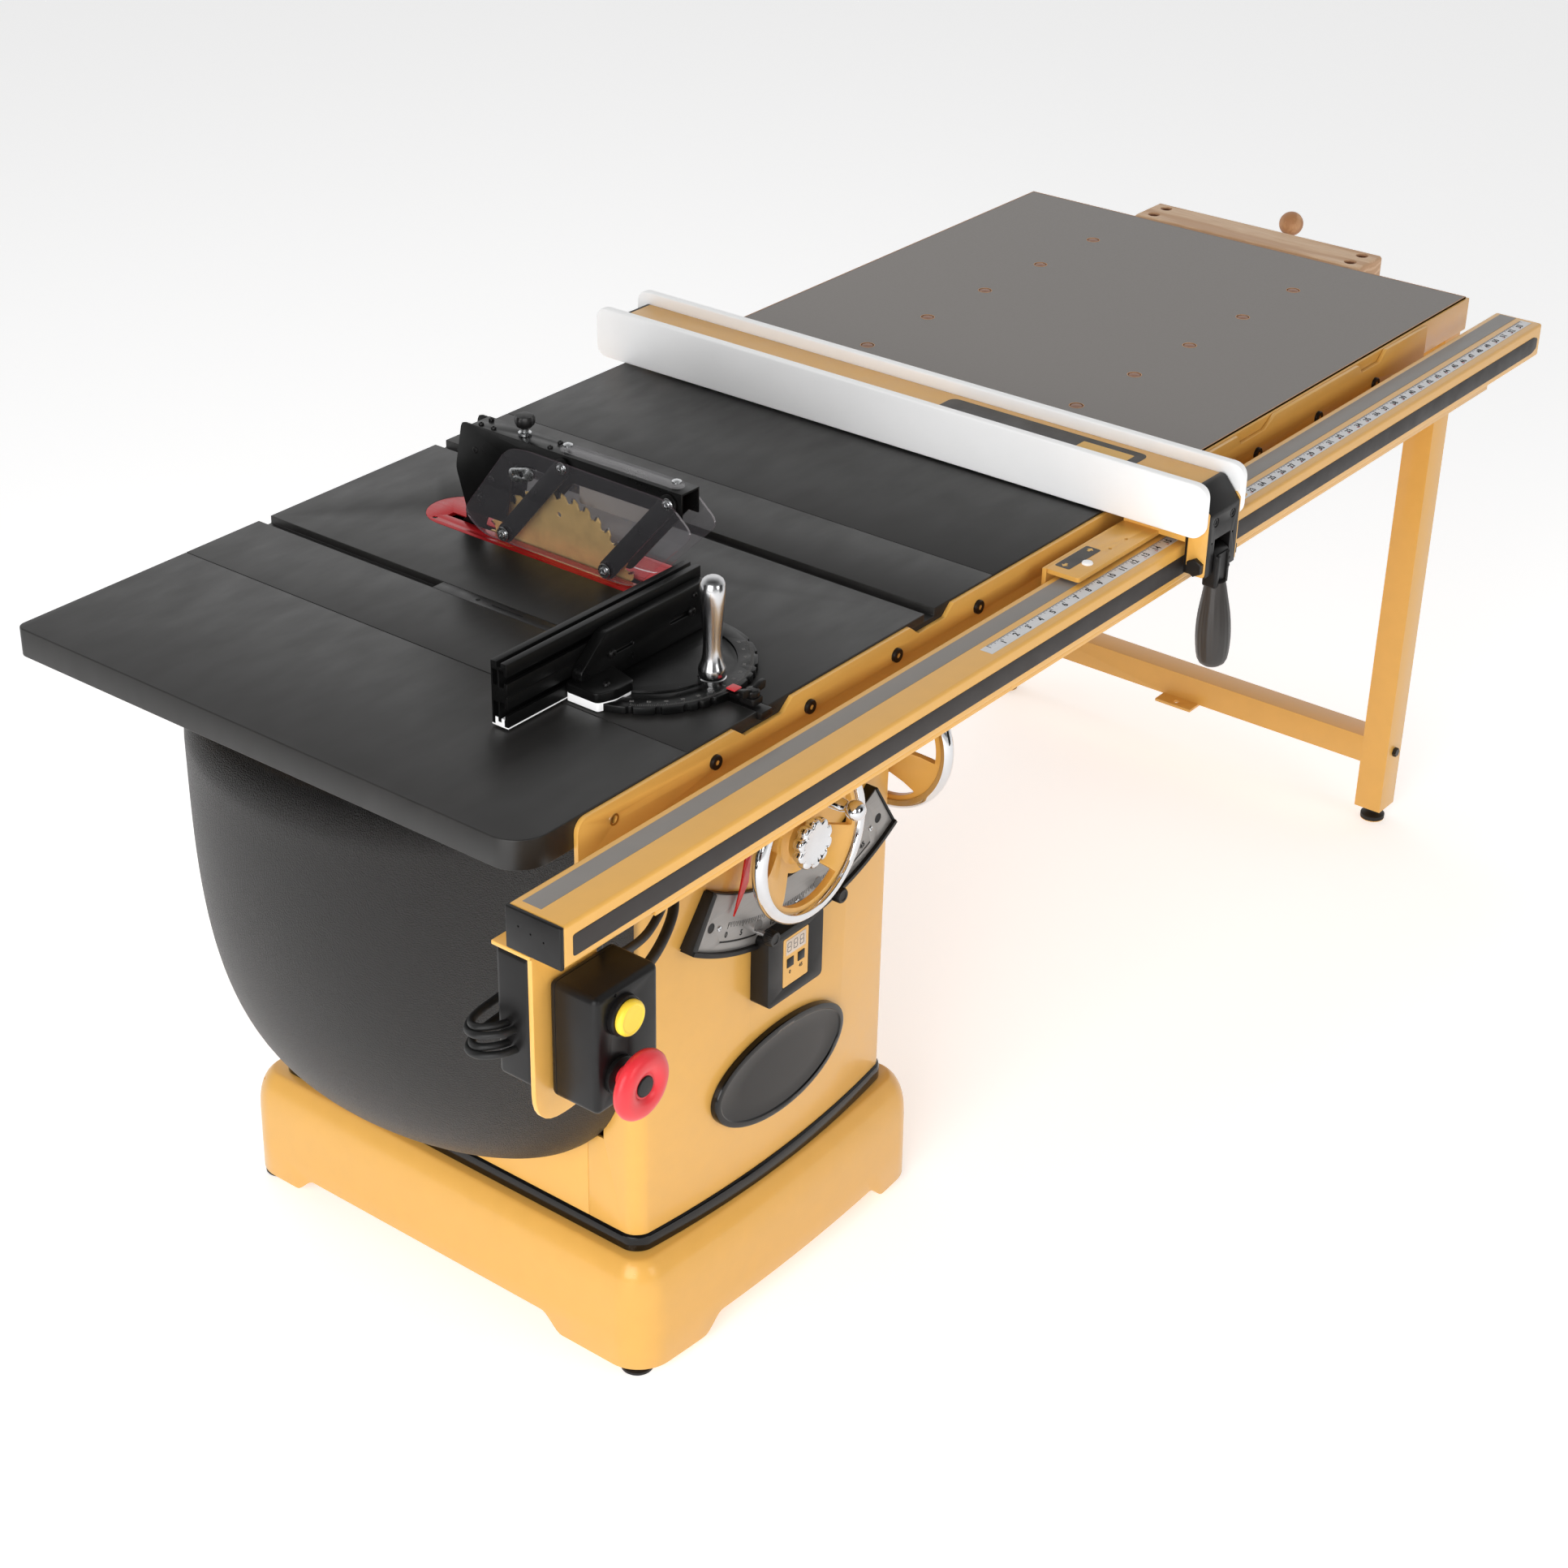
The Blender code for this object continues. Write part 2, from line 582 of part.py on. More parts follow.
def build_vise():
    jaw = box(1.368, 1.443, 0.183, 0.577, 0.756, TOP, bevel=0.003, segments=1)
    guides = [rod((y, VISE[1]), "x", 1.200, 1.40, 0.008) for y in (0.250, 0.510)]
    dogs = [rod((x, y), "z", 0.83, 0.89, DOG_R) for x in (1.387, 1.424) for y in (0.553, 0.208)]
    merge(jaw, add=guides, cut=dogs + [rod(VISE, "x", 1.350, 1.460, 0.0105, 16)])
    finish("vise_jaw", jaw, "wood")

    profile = [(0, 0), (0.0100, 0), (0.0100, 0.290), (0.0170, 0.2903), (0.0170, 0.296),
               (0.0145, 0.299), (0.0145, 0.358), (0.0115, 0.361), (0, 0.361)]
    screw = lathe(profile, (1.1537, *VISE), (1, 0, 0), 20)
    bar_at = (VISE_BAR_X, VISE[0])
    merge(screw, cut=(rod(bar_at, "z", 0.75, 0.83, 0.0062),))
    finish("vise_screw", screw, "steel", (1.40, *VISE))

    bar = rod(bar_at, "z", 0.715, 0.865, 0.0055)
    merge(bar, add=[ball((*bar_at, z), 0.01875) for z in (0.871, 0.709)])
    finish("vise_bar", bar, "wood", (VISE_BAR_X, *VISE))


# ---------------------------------------------------------------- saw works
def build_trunnions():
    for name, y0, y1 in (("trunnion_front", 0.1850, 0.2000), ("trunnion_rear", 0.6170, 0.6320)):
        ring = prism(sector(0.130, 0.170, -72, 72, 12), "y", y0, y1)
        merge(ring, add=(box(-0.322, -0.008, y0, y1, 0.8180, 0.8395),))
        finish(name, ring, "iron")


def build_cradle():
    """Windowed side plate with an end plate at the front and at the rear."""
    cradle = box(-0.300, -0.288, 0.2050, 0.6120, 0.4550, 0.8300)
    merge(cradle, cut=(box(-0.32, -0.27, 0.235, 0.582, 0.4700, 0.8000),))
    ends = [prism([(-0.300, 0.600), (-0.215, 0.600), (right, 0.720), (right, 0.8300),
                   (-0.300, 0.8300)], "y", y0, y1)
            for right, y0, y1 in ((-0.160, 0.2050, 0.2170), (-0.140, 0.6000, 0.6120))]
    merge(cradle, add=ends)
    finish("tilt_cradle", cradle, "iron", (BLADE_X, 0.4, TOP))


def build_arbor():
    arm = box(-0.2877, -0.2760, 0.2400, 0.5750, 0.5600, 0.8300)
    merge(arm, add=(box(-0.280, -0.165, 0.4570, 0.4900, 0.7900, 0.8330),
                    box(-0.242, -0.165, 0.4340, 0.4600, 0.8020, 0.8330),
                    rod(ARBOR, "x", -0.242, -0.1582, 0.022, 24)),
          cut=(rod(ARBOR, "x", -0.26, -0.14, 0.0085, 16),
               rod(MOTOR, "x", -0.30, -0.26, 0.0125, 20)))
    finish("arbor_arm", arm, "iron", (-0.282, *ARBOR))

    # left to right: pulley, shaft, the two flanges either side of the blade, nut, shaft end
    profile = [(0, 0), (0.0215, 0), (0.0215, 0.022), (0.0080, 0.0222), (0.0080, 0.1130),
               (0.0200, 0.1132), (0.0200, 0.1167), (0.0080, 0.1169), (0.0080, 0.1203),
               (0.0200, 0.1205), (0.0200, 0.1235), (0.0120, 0.1237), (0.0120, 0.1345),
               (0.0070, 0.1347), (0.0070, 0.139), (0, 0.139)]
    shaft = lathe(profile, (-0.2705, *ARBOR), (1, 0, 0), 14)
    finish("arbor_shaft", shaft, "steel", (BLADE_X, *ARBOR))


def build_blade():
    half_kerf = 0.0014
    pitch = 2 * math.pi / TEETH
    outline = []
    for k in range(TEETH):
        # fraction of the tooth pitch, radius
        for part, r in ((0.0, BLADE_R), (0.40, BLADE_R - 0.0090), (0.86, BLADE_R - 0.0070)):
            a = pitch * (k + part)
            outline.append((ARBOR[0] + r * math.cos(a), ARBOR[1] + r * math.sin(a)))
    blade = prism(outline, "x", BLADE_X - half_kerf, BLADE_X + half_kerf)
    merge(blade, cut=(rod(ARBOR, "x", -0.17, -0.13, 0.0084, 20),))
    finish("saw_blade", blade, "brass", (BLADE_X, *ARBOR))


def build_motor():
    at = (0, *MOTOR)
    y, z = MOTOR
    motor = lathe([(0, -0.4925), (0.070, -0.4925), (0.078, -0.485), (0.080, -0.470),
                   (0.080, -0.315), (0.074, -0.2981), (0, -0.2981)], at, (1, 0, 0), 18)
    top_box = box(-0.460, -0.350, y - 0.045, y + 0.045, z + 0.060, z + 0.092)
    merge(motor, add=(top_box, rod(MOTOR, "x", -0.3000, -0.2881, 0.050, 20)),
          cut=(rod(MOTOR, "x", -0.292, -0.28, 0.013, 16),))
    finish("motor", motor, "iron", (-0.39, *MOTOR))

    pulley = lathe([(0, -0.2905), (0.0080, -0.2905), (0.0080, -0.2710), (0.0290, -0.2707),
                    (0.0290, -0.2487), (0, -0.2487)], at, (1, 0, 0), 24)
    finish("motor_pulley", pulley, "steel", (-0.26, *MOTOR))


def belt_outline(thickness):
    """Open belt around both pulleys, in the (y, z) plane."""
    arbor_r, motor_r = 0.0218 + thickness, 0.0293 + thickness
    span = Vector(MOTOR) - Vector(ARBOR)
    along = math.degrees(math.atan2(span.y, span.x))
    off = math.degrees(math.acos((arbor_r - motor_r) / span.length))
    return (arc(ARBOR, arbor_r, along + off, along + 360 - off, 14)
            + arc(MOTOR, motor_r, along - off, along + off, 14))


def build_belt():
    belt = prism(belt_outline(0.0030), "x", -0.2685, -0.2510)
    merge(belt, cut=(prism(belt_outline(0.0), "x", -0.28, -0.24),))
    finish("drive_belt", belt, "rubber")


# ---------------------------------------------------------------- guard
def build_splitter():
    front_r = 0.133                         # front edge, around the arbor
    half = 0.0013
    outline = [(0.5655, 0.740), (0.5990, 0.740), (0.5990, 0.868), (0.583, 0.880),
               (0.583, 0.960), (0.545, 1.010), (0.500, 1.010)]
    for y in (0.500, 0.513, 0.526, 0.538, 0.548, 0.5555, 0.5610):
        rise = math.sqrt(max(0.0, front_r ** 2 - (y - ARBOR[0]) ** 2))
        outline.append((y, ARBOR[1] + rise))
    splitter = prism(outline, "x", BLADE_X - half, BLADE_X + half)
    merge(splitter, add=(box(-0.1536, -0.1420, 0.5700, 0.5990, 0.7450, 0.8100),))
    finish("splitter_plate", splitter, "steel")


def build_guard_channel():
    x0, x1 = GUARD_X
    wall = 0.0025
    channel = box(x0, x1, 0.2250, 0.5500, 0.9855, 1.0170)
    merge(channel, cut=(box(x0 + wall, x1 - wall, 0.2230, 0.5600, 0.97, 1.0145),
                        rod(GUARD_KNOB, "z", 1.00, 1.03, 0.0045, 12)))
    cheek = rounded([(0.498, 0.903), (0.562, 0.903), (0.578, 0.955), (0.566, 1.0165),
                     (0.520, 1.0165), (0.485, 0.980)], 0.006, 2)
    cheeks = [prism(cheek, "x", x0, x0 + wall), prism(cheek, "x", x1 - wall, x1)]
    pins = []
    for top, _ in LINKS.values():
        pins.append(rod(top, "x", x0 - 0.0043, x0 + 0.002, 0.0040, 12))
        pins.append(rod(top, "x", x1 - 0.002, x1 + 0.0043, 0.0040, 12))
    merge(channel, add=cheeks + pins)
    finish("guard_channel", channel, "black")


def build_guard_knob():
    profile = [(0, 0), (0.0040, 0), (0.0040, 0.0275), (0.0080, 0.0277), (0.0080, 0.031),
               (0.0050, 0.032), (0.0050, 0.037), (0.0115, 0.040), (0.0125, 0.050),
               (0.0105, 0.053), (0, 0.053)]
    knob = lathe(profile, (*GUARD_KNOB, 0.990), UP)
    finish("guard_knob", knob, "black", (*GUARD_KNOB, 1.02))


def build_links():
    # side, x0, x1, direction away from the blade
    for side, x0, x1, out in (("left", -0.1770, -0.1740, -1), ("right", -0.1400, -0.1370, 1)):
        for end, (top, low) in LINKS.items():
            outer = x1 if out > 0 else x0
            bar = prism(stadium(top, low, 0.0115), "x", x0, x1)
            pin = rod(low, "x", outer - out * 0.001, outer + out * 0.0050, 0.0038, 12)
            head = rod(low, "x", outer + out * 0.0042, outer + out * 0.0066, 0.0080)
            hole = rod(top, "x", x0 - 0.002, x1 + 0.002, 0.0044, 12)
            merge(bar, add=(pin, head), cut=(hole,))
            finish(f"link_{side}_{end}", bar, "black", ((x0 + x1) / 2, *top))


def build_shields():
    outline = rounded([(0.530, 0.883), (0.562, 0.905), (0.486, 1.006), (0.455, 1.0105),
                       (0.240, 1.0075), (0.201, 0.975), (0.290, 0.885), (0.320, 0.882)], 0.012, 3)
    for side, x0, x1 in (("left", -0.1810, -0.1780), ("right", -0.1360, -0.1330)):
        plate = prism(outline, "x", x0, x1)
        merge(plate, cut=[rod(low, "x", x0 - 0.002, x1 + 0.002, 0.0042, 12)
                          for _, low in LINKS.values()])
        finish(f"shield_{side}", plate, "clear", ((x0 + x1) / 2, *LINKS["rear"][1]))


# ---------------------------------------------------------------- hand wheels
def spoke(at, axis, out):
    """Flat arm from hub to rim, dished away from the operator at the hub."""
    across = axis.cross(out)
    root_r, tip_r = 0.010, WHEEL_R - 0.010
    rings = []
    for tip_h, root_h in ((-0.010, -0.024), (-0.003, -0.014)):
        corners = ((root_r, -0.014, root_h), (tip_r, -0.019, tip_h),
                   (tip_r, 0.019, tip_h), (root_r, 0.014, root_h))
        rings.append([at + out * r + across * w + axis * h for r, w, h in corners])
    return loft(rings)


def lock_knob(at, axis, side):
    """Knob in the middle of a wheel, with eight flutes."""
    profile = [(0, -0.0086), (0.0154, -0.0086), (0.0154, -0.0040), (0.0300, -0.0020),
               (0.0314, 0.0010), (0.0314, 0.0075), (0.0288, 0.0100), (0.0205, 0.0105),
               (0.0192, 0.0085), (0, 0.0085)]
    flutes = []
    for k in range(8):
        t = 2 * math.pi * (k + 0.5) / 8
        c = at + (UP * math.sin(t) + side * math.cos(t)) * 0.0352
        flutes.append(cylinder(c - axis * 0.007, c + axis * 0.016, 0.0067, 6))
    return merge(lathe(profile, at, axis), cut=flutes)


def build_handwheel(prefix, centre, axis, shaft_length):
    """Dished wheel with lock knob and handle; axis points to the operator."""
    at, axis = Vector(centre), Vector(axis)
    side = axis.cross(UP)
    rim = [(WHEEL_R - inset, h) for inset, h in (
        (0.0128, -0.006), (0.0060, -0.0095), (0.0010, -0.006), (0.0, 0.0), (0.002, 0.005),
        (0.008, 0.0085), (0.0128, 0.004))]
    wheel = lathe(rim, at, axis, 28)
    spokes = []
    for degrees in (90, 210, 330):
        a = math.radians(degrees)
        spokes.append(spoke(at, axis, UP * math.sin(a) + side * math.cos(a)))
    hub = lathe([(0, -0.034), (0.022, -0.034), (0.026, -0.026), (0.026, -0.012),
                 (0.018, -0.009), (0, -0.009)], at, axis)
    shaft = cylinder(at - axis * 0.020, at - axis * shaft_length, 0.0080, 12)
    handle_at = at + UP * 0.0743 + side * 0.0146
    boss = cylinder(handle_at - axis * 0.009, handle_at + axis * 0.0010, 0.0135, 12)
    merge(wheel, add=spokes + [hub, shaft, boss])
    finish(f"{prefix}_handwheel", wheel, "chrome", at)
    finish(f"{prefix}_lock_knob", lock_knob(at, axis, side), "chrome", at)

    profile = [(0, 0.0014), (0.0085, 0.0014), (0.0085, 0.006), (0.0060, 0.010), (0.0065, 0.022),
               (0.0085, 0.040), (0.0075, 0.056), (0.0065, 0.060), (0.0098, 0.0645),
               (0.0118, 0.071), (0.0112, 0.077), (0.0070, 0.0815), (0, 0.083)]
    finish(f"{prefix}_handle", lathe(profile, handle_at, axis, 12), "chrome", handle_at)


def build_pointer():
    """Collar around the raise shaft and a tapering arm down to the scale."""
    x, _, z = RAISE_WHEEL
    pointer = prism([(-0.2362, 0.6900), (-0.2362, 0.6680), (-0.2598, 0.6500), (-0.2642, 0.6164),
                     (-0.2893, 0.5819), (-0.2903, 0.5825), (-0.2790, 0.6126),
                     (-0.2702, 0.6490), (-0.2560, 0.6760)], "y", 0.0490, 0.0512)
    collar = rod((x, z), "y", 0.0460, 0.1990, 0.0125, 20)
    rear_block = box(-0.2465, -0.2150, 0.1935, 0.2047, z - 0.016, z + 0.020)
    for part in (collar, rear_block):
        merge(pointer, add=(part,), cut=(rod((x, z), "y", 0.03, 0.23, 0.0085, 16),))
    finish("tilt_pointer", pointer, "red", (BLADE_X, 0.05, TOP))


# ---------------------------------------------------------------- switch
def build_switch():
    plate_y = (-0.0690, -0.0630)
    bracket = prism(rounded_rect(-0.757, -0.660, 0.598, 0.806, 0.044, 7), "y", *plate_y)
    merge(bracket, add=(box(-0.757, -0.660, *plate_y, 0.758, 0.8087),
                        box(-0.7600, -0.660, -0.0690, -0.0180, 0.8040, 0.8090)),
          cut=(box(-0.715, -0.685, -0.08, -0.05, 0.680, 0.730),))
    finish("switch_bracket", bracket, "gold")

    front = box(-0.735, -0.6395, SWITCH_FACE_Y, -0.0693, 0.6316, 0.7710, bevel=0.006)
    back = box(-0.7530, -0.6395, -0.0627, -0.0150, 0.6450, 0.7990, bevel=0.005, segments=1)
    neck = box(-0.7145, -0.6855, -0.0720, -0.0600, 0.6805, 0.7295)  # through the bracket
    merge(front, add=(back, neck), cut=(rod(STOP, "y", -0.150, -0.094, 0.0115, 16),
                                        rod(START, "y", -0.150, -0.110, 0.0150, 16)))
    finish("switch_box", front, "black")

    start = lathe([(0, 0.0), (0.0145, 0.0), (0.0145, 0.022), (0.0190, 0.0222),
                   (0.0195, 0.026), (0.0180, 0.0300), (0, 0.0315)],
                  place(START, "y", -0.1185), (0, -1, 0))
    finish("start_button", start, "yellow", place(START, "y", SWITCH_FACE_Y))
    stop = lathe([(0, 0), (0.0110, 0), (0.0110, 0.040), (0.0200, 0.043), (0.0370, 0.0480),
                  (0.0390, 0.0540), (0.0370, 0.0600), (0.0270, 0.0640), (0.0150, 0.0620),
                  (0.0140, 0.0590), (0, 0.0590)], place(STOP, "y", -0.1085), (0, -1, 0), 18)
    finish("stop_paddle", stop, "red", place(STOP, "y", SWITCH_FACE_Y))


def build_cable():
    """From the switch box to the cabinet front, trimmed clear of both."""
    cable = tube([(-0.6393, -0.038, 0.712), (-0.600, -0.036, 0.690), (-0.540, -0.020, 0.660),
                  (-0.470, 0.010, 0.646), (-0.415, 0.036, 0.655), (-0.3935, 0.058, 0.672),
                  (-0.392, 0.0765, 0.690)], 0.0062)
    merge(cable, cut=(cabinet_cutter(), box(-0.70, -0.6391, -0.07, 0.0, 0.67, 0.75)))
    finish("power_cable", cable, "black")


# ---------------------------------------------------------------- rip fence
def build_fence_faces():
    for side, x0, x1 in (("left", 0.3650, 0.3775), ("right", 0.4527, 0.4650)):
        face = prism(rounded_rect(*FENCE_Y, *FENCE_Z, 0.020, 5), "x", x0, x1)
        finish(f"fence_face_{side}", face, "white")


def build_fence_body():
    body = box(0.3778, 0.4524, -0.1145, 0.800, 0.8810, 0.9320)
    merge(body, cut=(box(0.3815, 0.4487, -0.100, 0.820, 0.8845, 0.9285),))
    cross_plate = prism(rounded_rect(0.201, 0.575, -0.1105, -0.0300, 0.006, 3),
                        "z", 0.8622, 0.8680)
    outline = [(-0.1080, 0.8770), (-0.1080, 0.9140), (-0.1400, 0.9140), (-0.1455, 0.9080),
               (-0.1455, 0.8270), (-0.1420, 0.8240), (-0.1320, 0.8240), (-0.1215, 0.8290),
               (-0.1190, 0.8360), (-0.1190, 0.8770)]
    cheeks = [prism(outline, "x", x0, x1) for x0, x1 in ((0.3780, 0.3799), (0.4503, 0.4522))]
    spacer = box(0.380, 0.450, -0.1140, -0.026, 0.8640, 0.8830)
    rear_lip = box(0.201, 0.575, -0.0306, -0.0245, 0.8210, 0.8672)
    front_plate = box(0.3860, 0.4440, -0.1144, -0.1119, 0.8300, 0.9000)
    holes = [rod((x, -0.059), "z", 0.85, 0.88, 0.0022, 8) for x in (0.2975, 0.334)]
    # leave the cross plate full depth only in the middle
    corners = [box(x0, x1, -0.118, -0.0765, 0.855, 0.875)
               for x0, x1 in ((0.195, 0.3705), (0.4610, 0.580))]
    merge(body, add=[spacer, cross_plate, rear_lip, front_plate] + cheeks, cut=holes + corners)
    finish("fence_body", body, "gold", (0.415, -0.075, 0.88))


def build_fence_head():
    head = prism([(-0.1148, 0.8235), (-0.1455, 0.8235), (-0.1455, 0.9050), (-0.1235, 0.9310),
                  (-0.1200, 0.9335), (-0.1148, 0.9335)], "x", 0.3802, 0.4500)
    merge(head, cut=(box(0.3965, 0.4335, -0.20, -0.10, 0.80, 0.870),))
    finish("fence_head", head, "black")


def build_fence_lever():
    lever = rod(LEVER[1:], "x", 0.3990, 0.4310, 0.0178, 20)
    grip = lathe([(0, 0.0), (0.0130, 0.0), (0.0142, 0.006), (0.0180, 0.028), (0.0216, 0.052),
                  (0.0222, 0.070), (0.0206, 0.094), (0.0180, 0.106), (0.0110, 0.1135),
                  (0, 0.1145)], (LEVER[0], -0.1420, 0.8085), (0, -0.0559, -0.9984), 20)
    block = box(0.3995, 0.4305, -0.1510, -0.1310, 0.8035, 0.8480, bevel=0.003, segments=1)
    merge(lever, add=(block, grip))
    finish("fence_lever", lever, "black", LEVER)


# ---------------------------------------------------------------- mitre gauge
def build_miter_bar():
    bar = box(SLOT_LEFT[0] + GAP, SLOT_LEFT[1] - GAP, -0.0064, 0.4840, SLOT_FLOOR + GAP, 0.8757)
    merge(bar, add=(rod(MITER_PIVOT, "z", 0.8745, 0.8845, 0.0070, 16),))
    finish("miter_bar", bar, "steel", (*MITER_PIVOT, 0.87))


def build_miter_head():
    """Half disc with an upright wall along its back."""
    x = MITER_PIVOT[0]
    back = MITER_BACK_Y
    head = prism(arc(MITER_PIVOT, MITER_R, 180, 360, 20) + [(x + MITER_R, back),
                                                          (x - MITER_R, back)],
                 "z", 0.8770, 0.8860)
    upright = prism(rounded([(-0.420, 0.880), (-0.226, 0.880), (-0.202, 0.905),
                             (-0.204, 0.9440), (-0.236, 0.9440), (-0.380, 0.9440),
                             (-0.420, 0.915)], 0.010, 3), "y", 0.1600, back)
    left_foot = prism(rounded([(-0.432, 0.128), (-0.410, 0.120), (-0.380, 0.120),
                               (-0.380, back), (-0.432, back)], 0.006, 3),
                      "z", 0.8770, 0.9000)
    boss = rod(MITER_HANDLE, "z", 0.8800, 0.8930, 0.0160, 20)
    tip = prism([(x - 0.012, 0.045), (x + 0.012, 0.045), (x + 0.006, 0.020),
                 (x - 0.006, 0.020)], "z", 0.8785, 0.8850)
    merge(head, add=(upright, left_foot, boss, tip),
          cut=(rod(MITER_PIVOT, "z", 0.86, 0.888, 0.0074, 16),))
    finish("miter_head", head, "black", (*MITER_PIVOT, 0.88))


def build_miter_fence():
    fence = box_outline = prism([(0.1745, 0.8790), (0.1975, 0.8790), (0.1975, 0.9550),
                                 (0.1745, 0.9550)], "x", -0.5220, -0.2000)
    cut_x = (-0.53, -0.19)
    grooves = []
    for z in (0.890, 0.926):
        # narrow mouth in the front face, wider channel behind it
        grooves.append(box(*cut_x, 0.165, 0.180, z + 0.006, z + 0.014))
        grooves.append(box(*cut_x, 0.1795, 0.1860, z, z + 0.020))
    grooves.append(box(*cut_x, 0.183, 0.189, 0.948, 0.96))
    merge(fence, cut=grooves)
    finish("miter_fence", fence, "black")


def build_miter_handle():
    profile = [(0, 0), (0.0060, 0), (0.0060, 0.010), (0.0150, 0.012), (0.0160, 0.018),
               (0.0115, 0.026), (0.0100, 0.045), (0.0125, 0.075), (0.0150, 0.098),
               (0.0142, 0.110), (0.0085, 0.117), (0, 0.119)]
    handle = lathe(profile, (*MITER_HANDLE, 0.8933), UP, 20)
    finish("miter_handle", handle, "chrome", (*MITER_HANDLE, 0.90))


# ---------------------------------------------------------------- build
for old in list(bpy.data.objects):
    bpy.data.objects.remove(old, do_unlink=True)
MATERIALS = {name: make_material(name, *values) for name, values in PALETTE.items()}

for build in (
        build_base, build_trim_band, build_cabinet, build_motor_cover, build_dust_port,
        build_badge, build_bevel_scale, build_readout,
        build_main_table, build_wings, build_throat_insert,
        build_front_angle, build_rear_angle, build_rail_tube,
        build_extension_frame, build_extension_top, build_legs, build_vise,
        build_trunnions, build_cradle, build_arbor, build_blade, build_motor, build_belt,
        build_splitter, build_guard_channel, build_guard_knob, build_links, build_shields):
    build()
build_handwheel("raise", RAISE_WHEEL, (0, -1, 0), 0.2045 - RAISE_WHEEL[1])
build_handwheel("tilt", TILT_WHEEL, (1, 0, 0), 0.160)
for build in (
        build_pointer, build_switch, build_cable,
        build_fence_faces, build_fence_body, build_fence_head, build_fence_lever,
        build_miter_bar, build_miter_head, build_miter_fence, build_miter_handle):
    build()
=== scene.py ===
"""Cabinet table saw with extension table, guard, rip fence, mitre gauge and end vise.

Pieces are laid out in metres in shop coordinates: x runs right from the rail tape's zero,
y runs to the rear from the front edge of the cast table, z runs up from the floor.
put() moves them to the row frame.
"""

import json
import math

import bmesh
import bpy
import numpy as np
from mathutils import Matrix, Vector

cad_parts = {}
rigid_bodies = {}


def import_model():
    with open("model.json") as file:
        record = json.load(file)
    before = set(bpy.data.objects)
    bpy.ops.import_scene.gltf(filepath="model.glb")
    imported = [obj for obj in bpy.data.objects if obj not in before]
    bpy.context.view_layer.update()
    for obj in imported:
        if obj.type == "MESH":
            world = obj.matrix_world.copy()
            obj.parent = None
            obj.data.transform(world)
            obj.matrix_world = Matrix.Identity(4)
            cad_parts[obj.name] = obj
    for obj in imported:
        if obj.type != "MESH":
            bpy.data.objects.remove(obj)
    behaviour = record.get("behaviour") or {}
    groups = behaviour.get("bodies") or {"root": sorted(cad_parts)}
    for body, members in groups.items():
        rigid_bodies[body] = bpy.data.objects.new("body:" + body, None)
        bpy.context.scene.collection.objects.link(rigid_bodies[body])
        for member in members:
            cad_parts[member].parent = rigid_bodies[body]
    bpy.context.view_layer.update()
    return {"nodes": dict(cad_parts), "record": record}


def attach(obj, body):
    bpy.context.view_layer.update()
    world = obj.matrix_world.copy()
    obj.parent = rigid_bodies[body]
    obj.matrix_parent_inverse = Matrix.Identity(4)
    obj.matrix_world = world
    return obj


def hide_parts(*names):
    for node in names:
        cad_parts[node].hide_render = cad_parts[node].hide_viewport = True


for old in list(bpy.data.objects):
    bpy.data.objects.remove(old, do_unlink=True)

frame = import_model()
NODES = frame["nodes"]
BODY = {n: b for b, ns in frame["record"]["behaviour"]["bodies"].items() for n in ns}
FRAME_OFFSET = Vector((0.378875, 0.32575, 0.0))

LEFT, RIGHT = (-1, 0, 0), (1, 0, 0)
FRONT, REAR = (0, -1, 0), (0, 1, 0)
UP = (0, 0, 1)

TOP = 0.876                                  # table surface
BLADE_X = -0.152
ARBOR = (0.4288, 0.829)                      # y, z
TILT_AXIS = (BLADE_X, TOP)                   # x, z
CAB = (-0.430, 0.061, 0.080, 0.6825)         # cabinet x0, x1, y0, y1
CAB_BOW = 0.020                              # forward bow of the cabinet front
TILT_WHEEL = Vector((0.100, 0.120, 0.634))
WHEEL_SWING = 0.213                          # tilt axis to raising wheel
WHEEL_ANGLE = math.radians(-21.6)
RAISE_WHEEL = Vector((BLADE_X + WHEEL_SWING * math.sin(WHEEL_ANGLE), -0.012,
                      TOP - WHEEL_SWING * math.cos(WHEEL_ANGLE)))


# ================================================================ materials
materials = {}


def srgb(r, g, b):
    """Linear colour from 0-255 display values."""
    def linear(c):
        c /= 255
        return c / 12.92 if c <= 0.04045 else ((c + 0.055) / 1.055) ** 2.4
    return (linear(r), linear(g), linear(b), 1.0)


def set_inputs(node, values):
    """Sets each input, or links it where the value is another node's output."""
    for key, value in values.items():
        if isinstance(value, bpy.types.NodeSocket):
            node.id_data.links.new(value, node.inputs[key])
        else:
            node.inputs[key].default_value = value


def add_node(tree, kind, values=None, **settings):
    node = tree.nodes.new("ShaderNode" + kind)
    for key, value in settings.items():
        setattr(node, key, value)
    set_inputs(node, values or {})
    return node


def noise(tree, vector, scale, detail, **more):
    values = {"Vector": vector, "Scale": scale, "Detail": detail, **more}
    return add_node(tree, "TexNoise", values).outputs["Fac"]


def map_range(tree, value, source, target, **settings):
    values = {"Value": value, "From Min": source[0], "From Max": source[1],
              "To Min": target[0], "To Max": target[1]}
    return add_node(tree, "MapRange", values, **settings).outputs["Result"]


def ramp(tree, factor, *stops):
    """Two-stop colour ramp; each stop is (position, colour)."""
    node = add_node(tree, "ValToRGB", {"Fac": factor})
    for element, (position, colour) in zip(node.color_ramp.elements, stops):
        element.position = position
        element.color = colour
    return node.outputs["Color"]


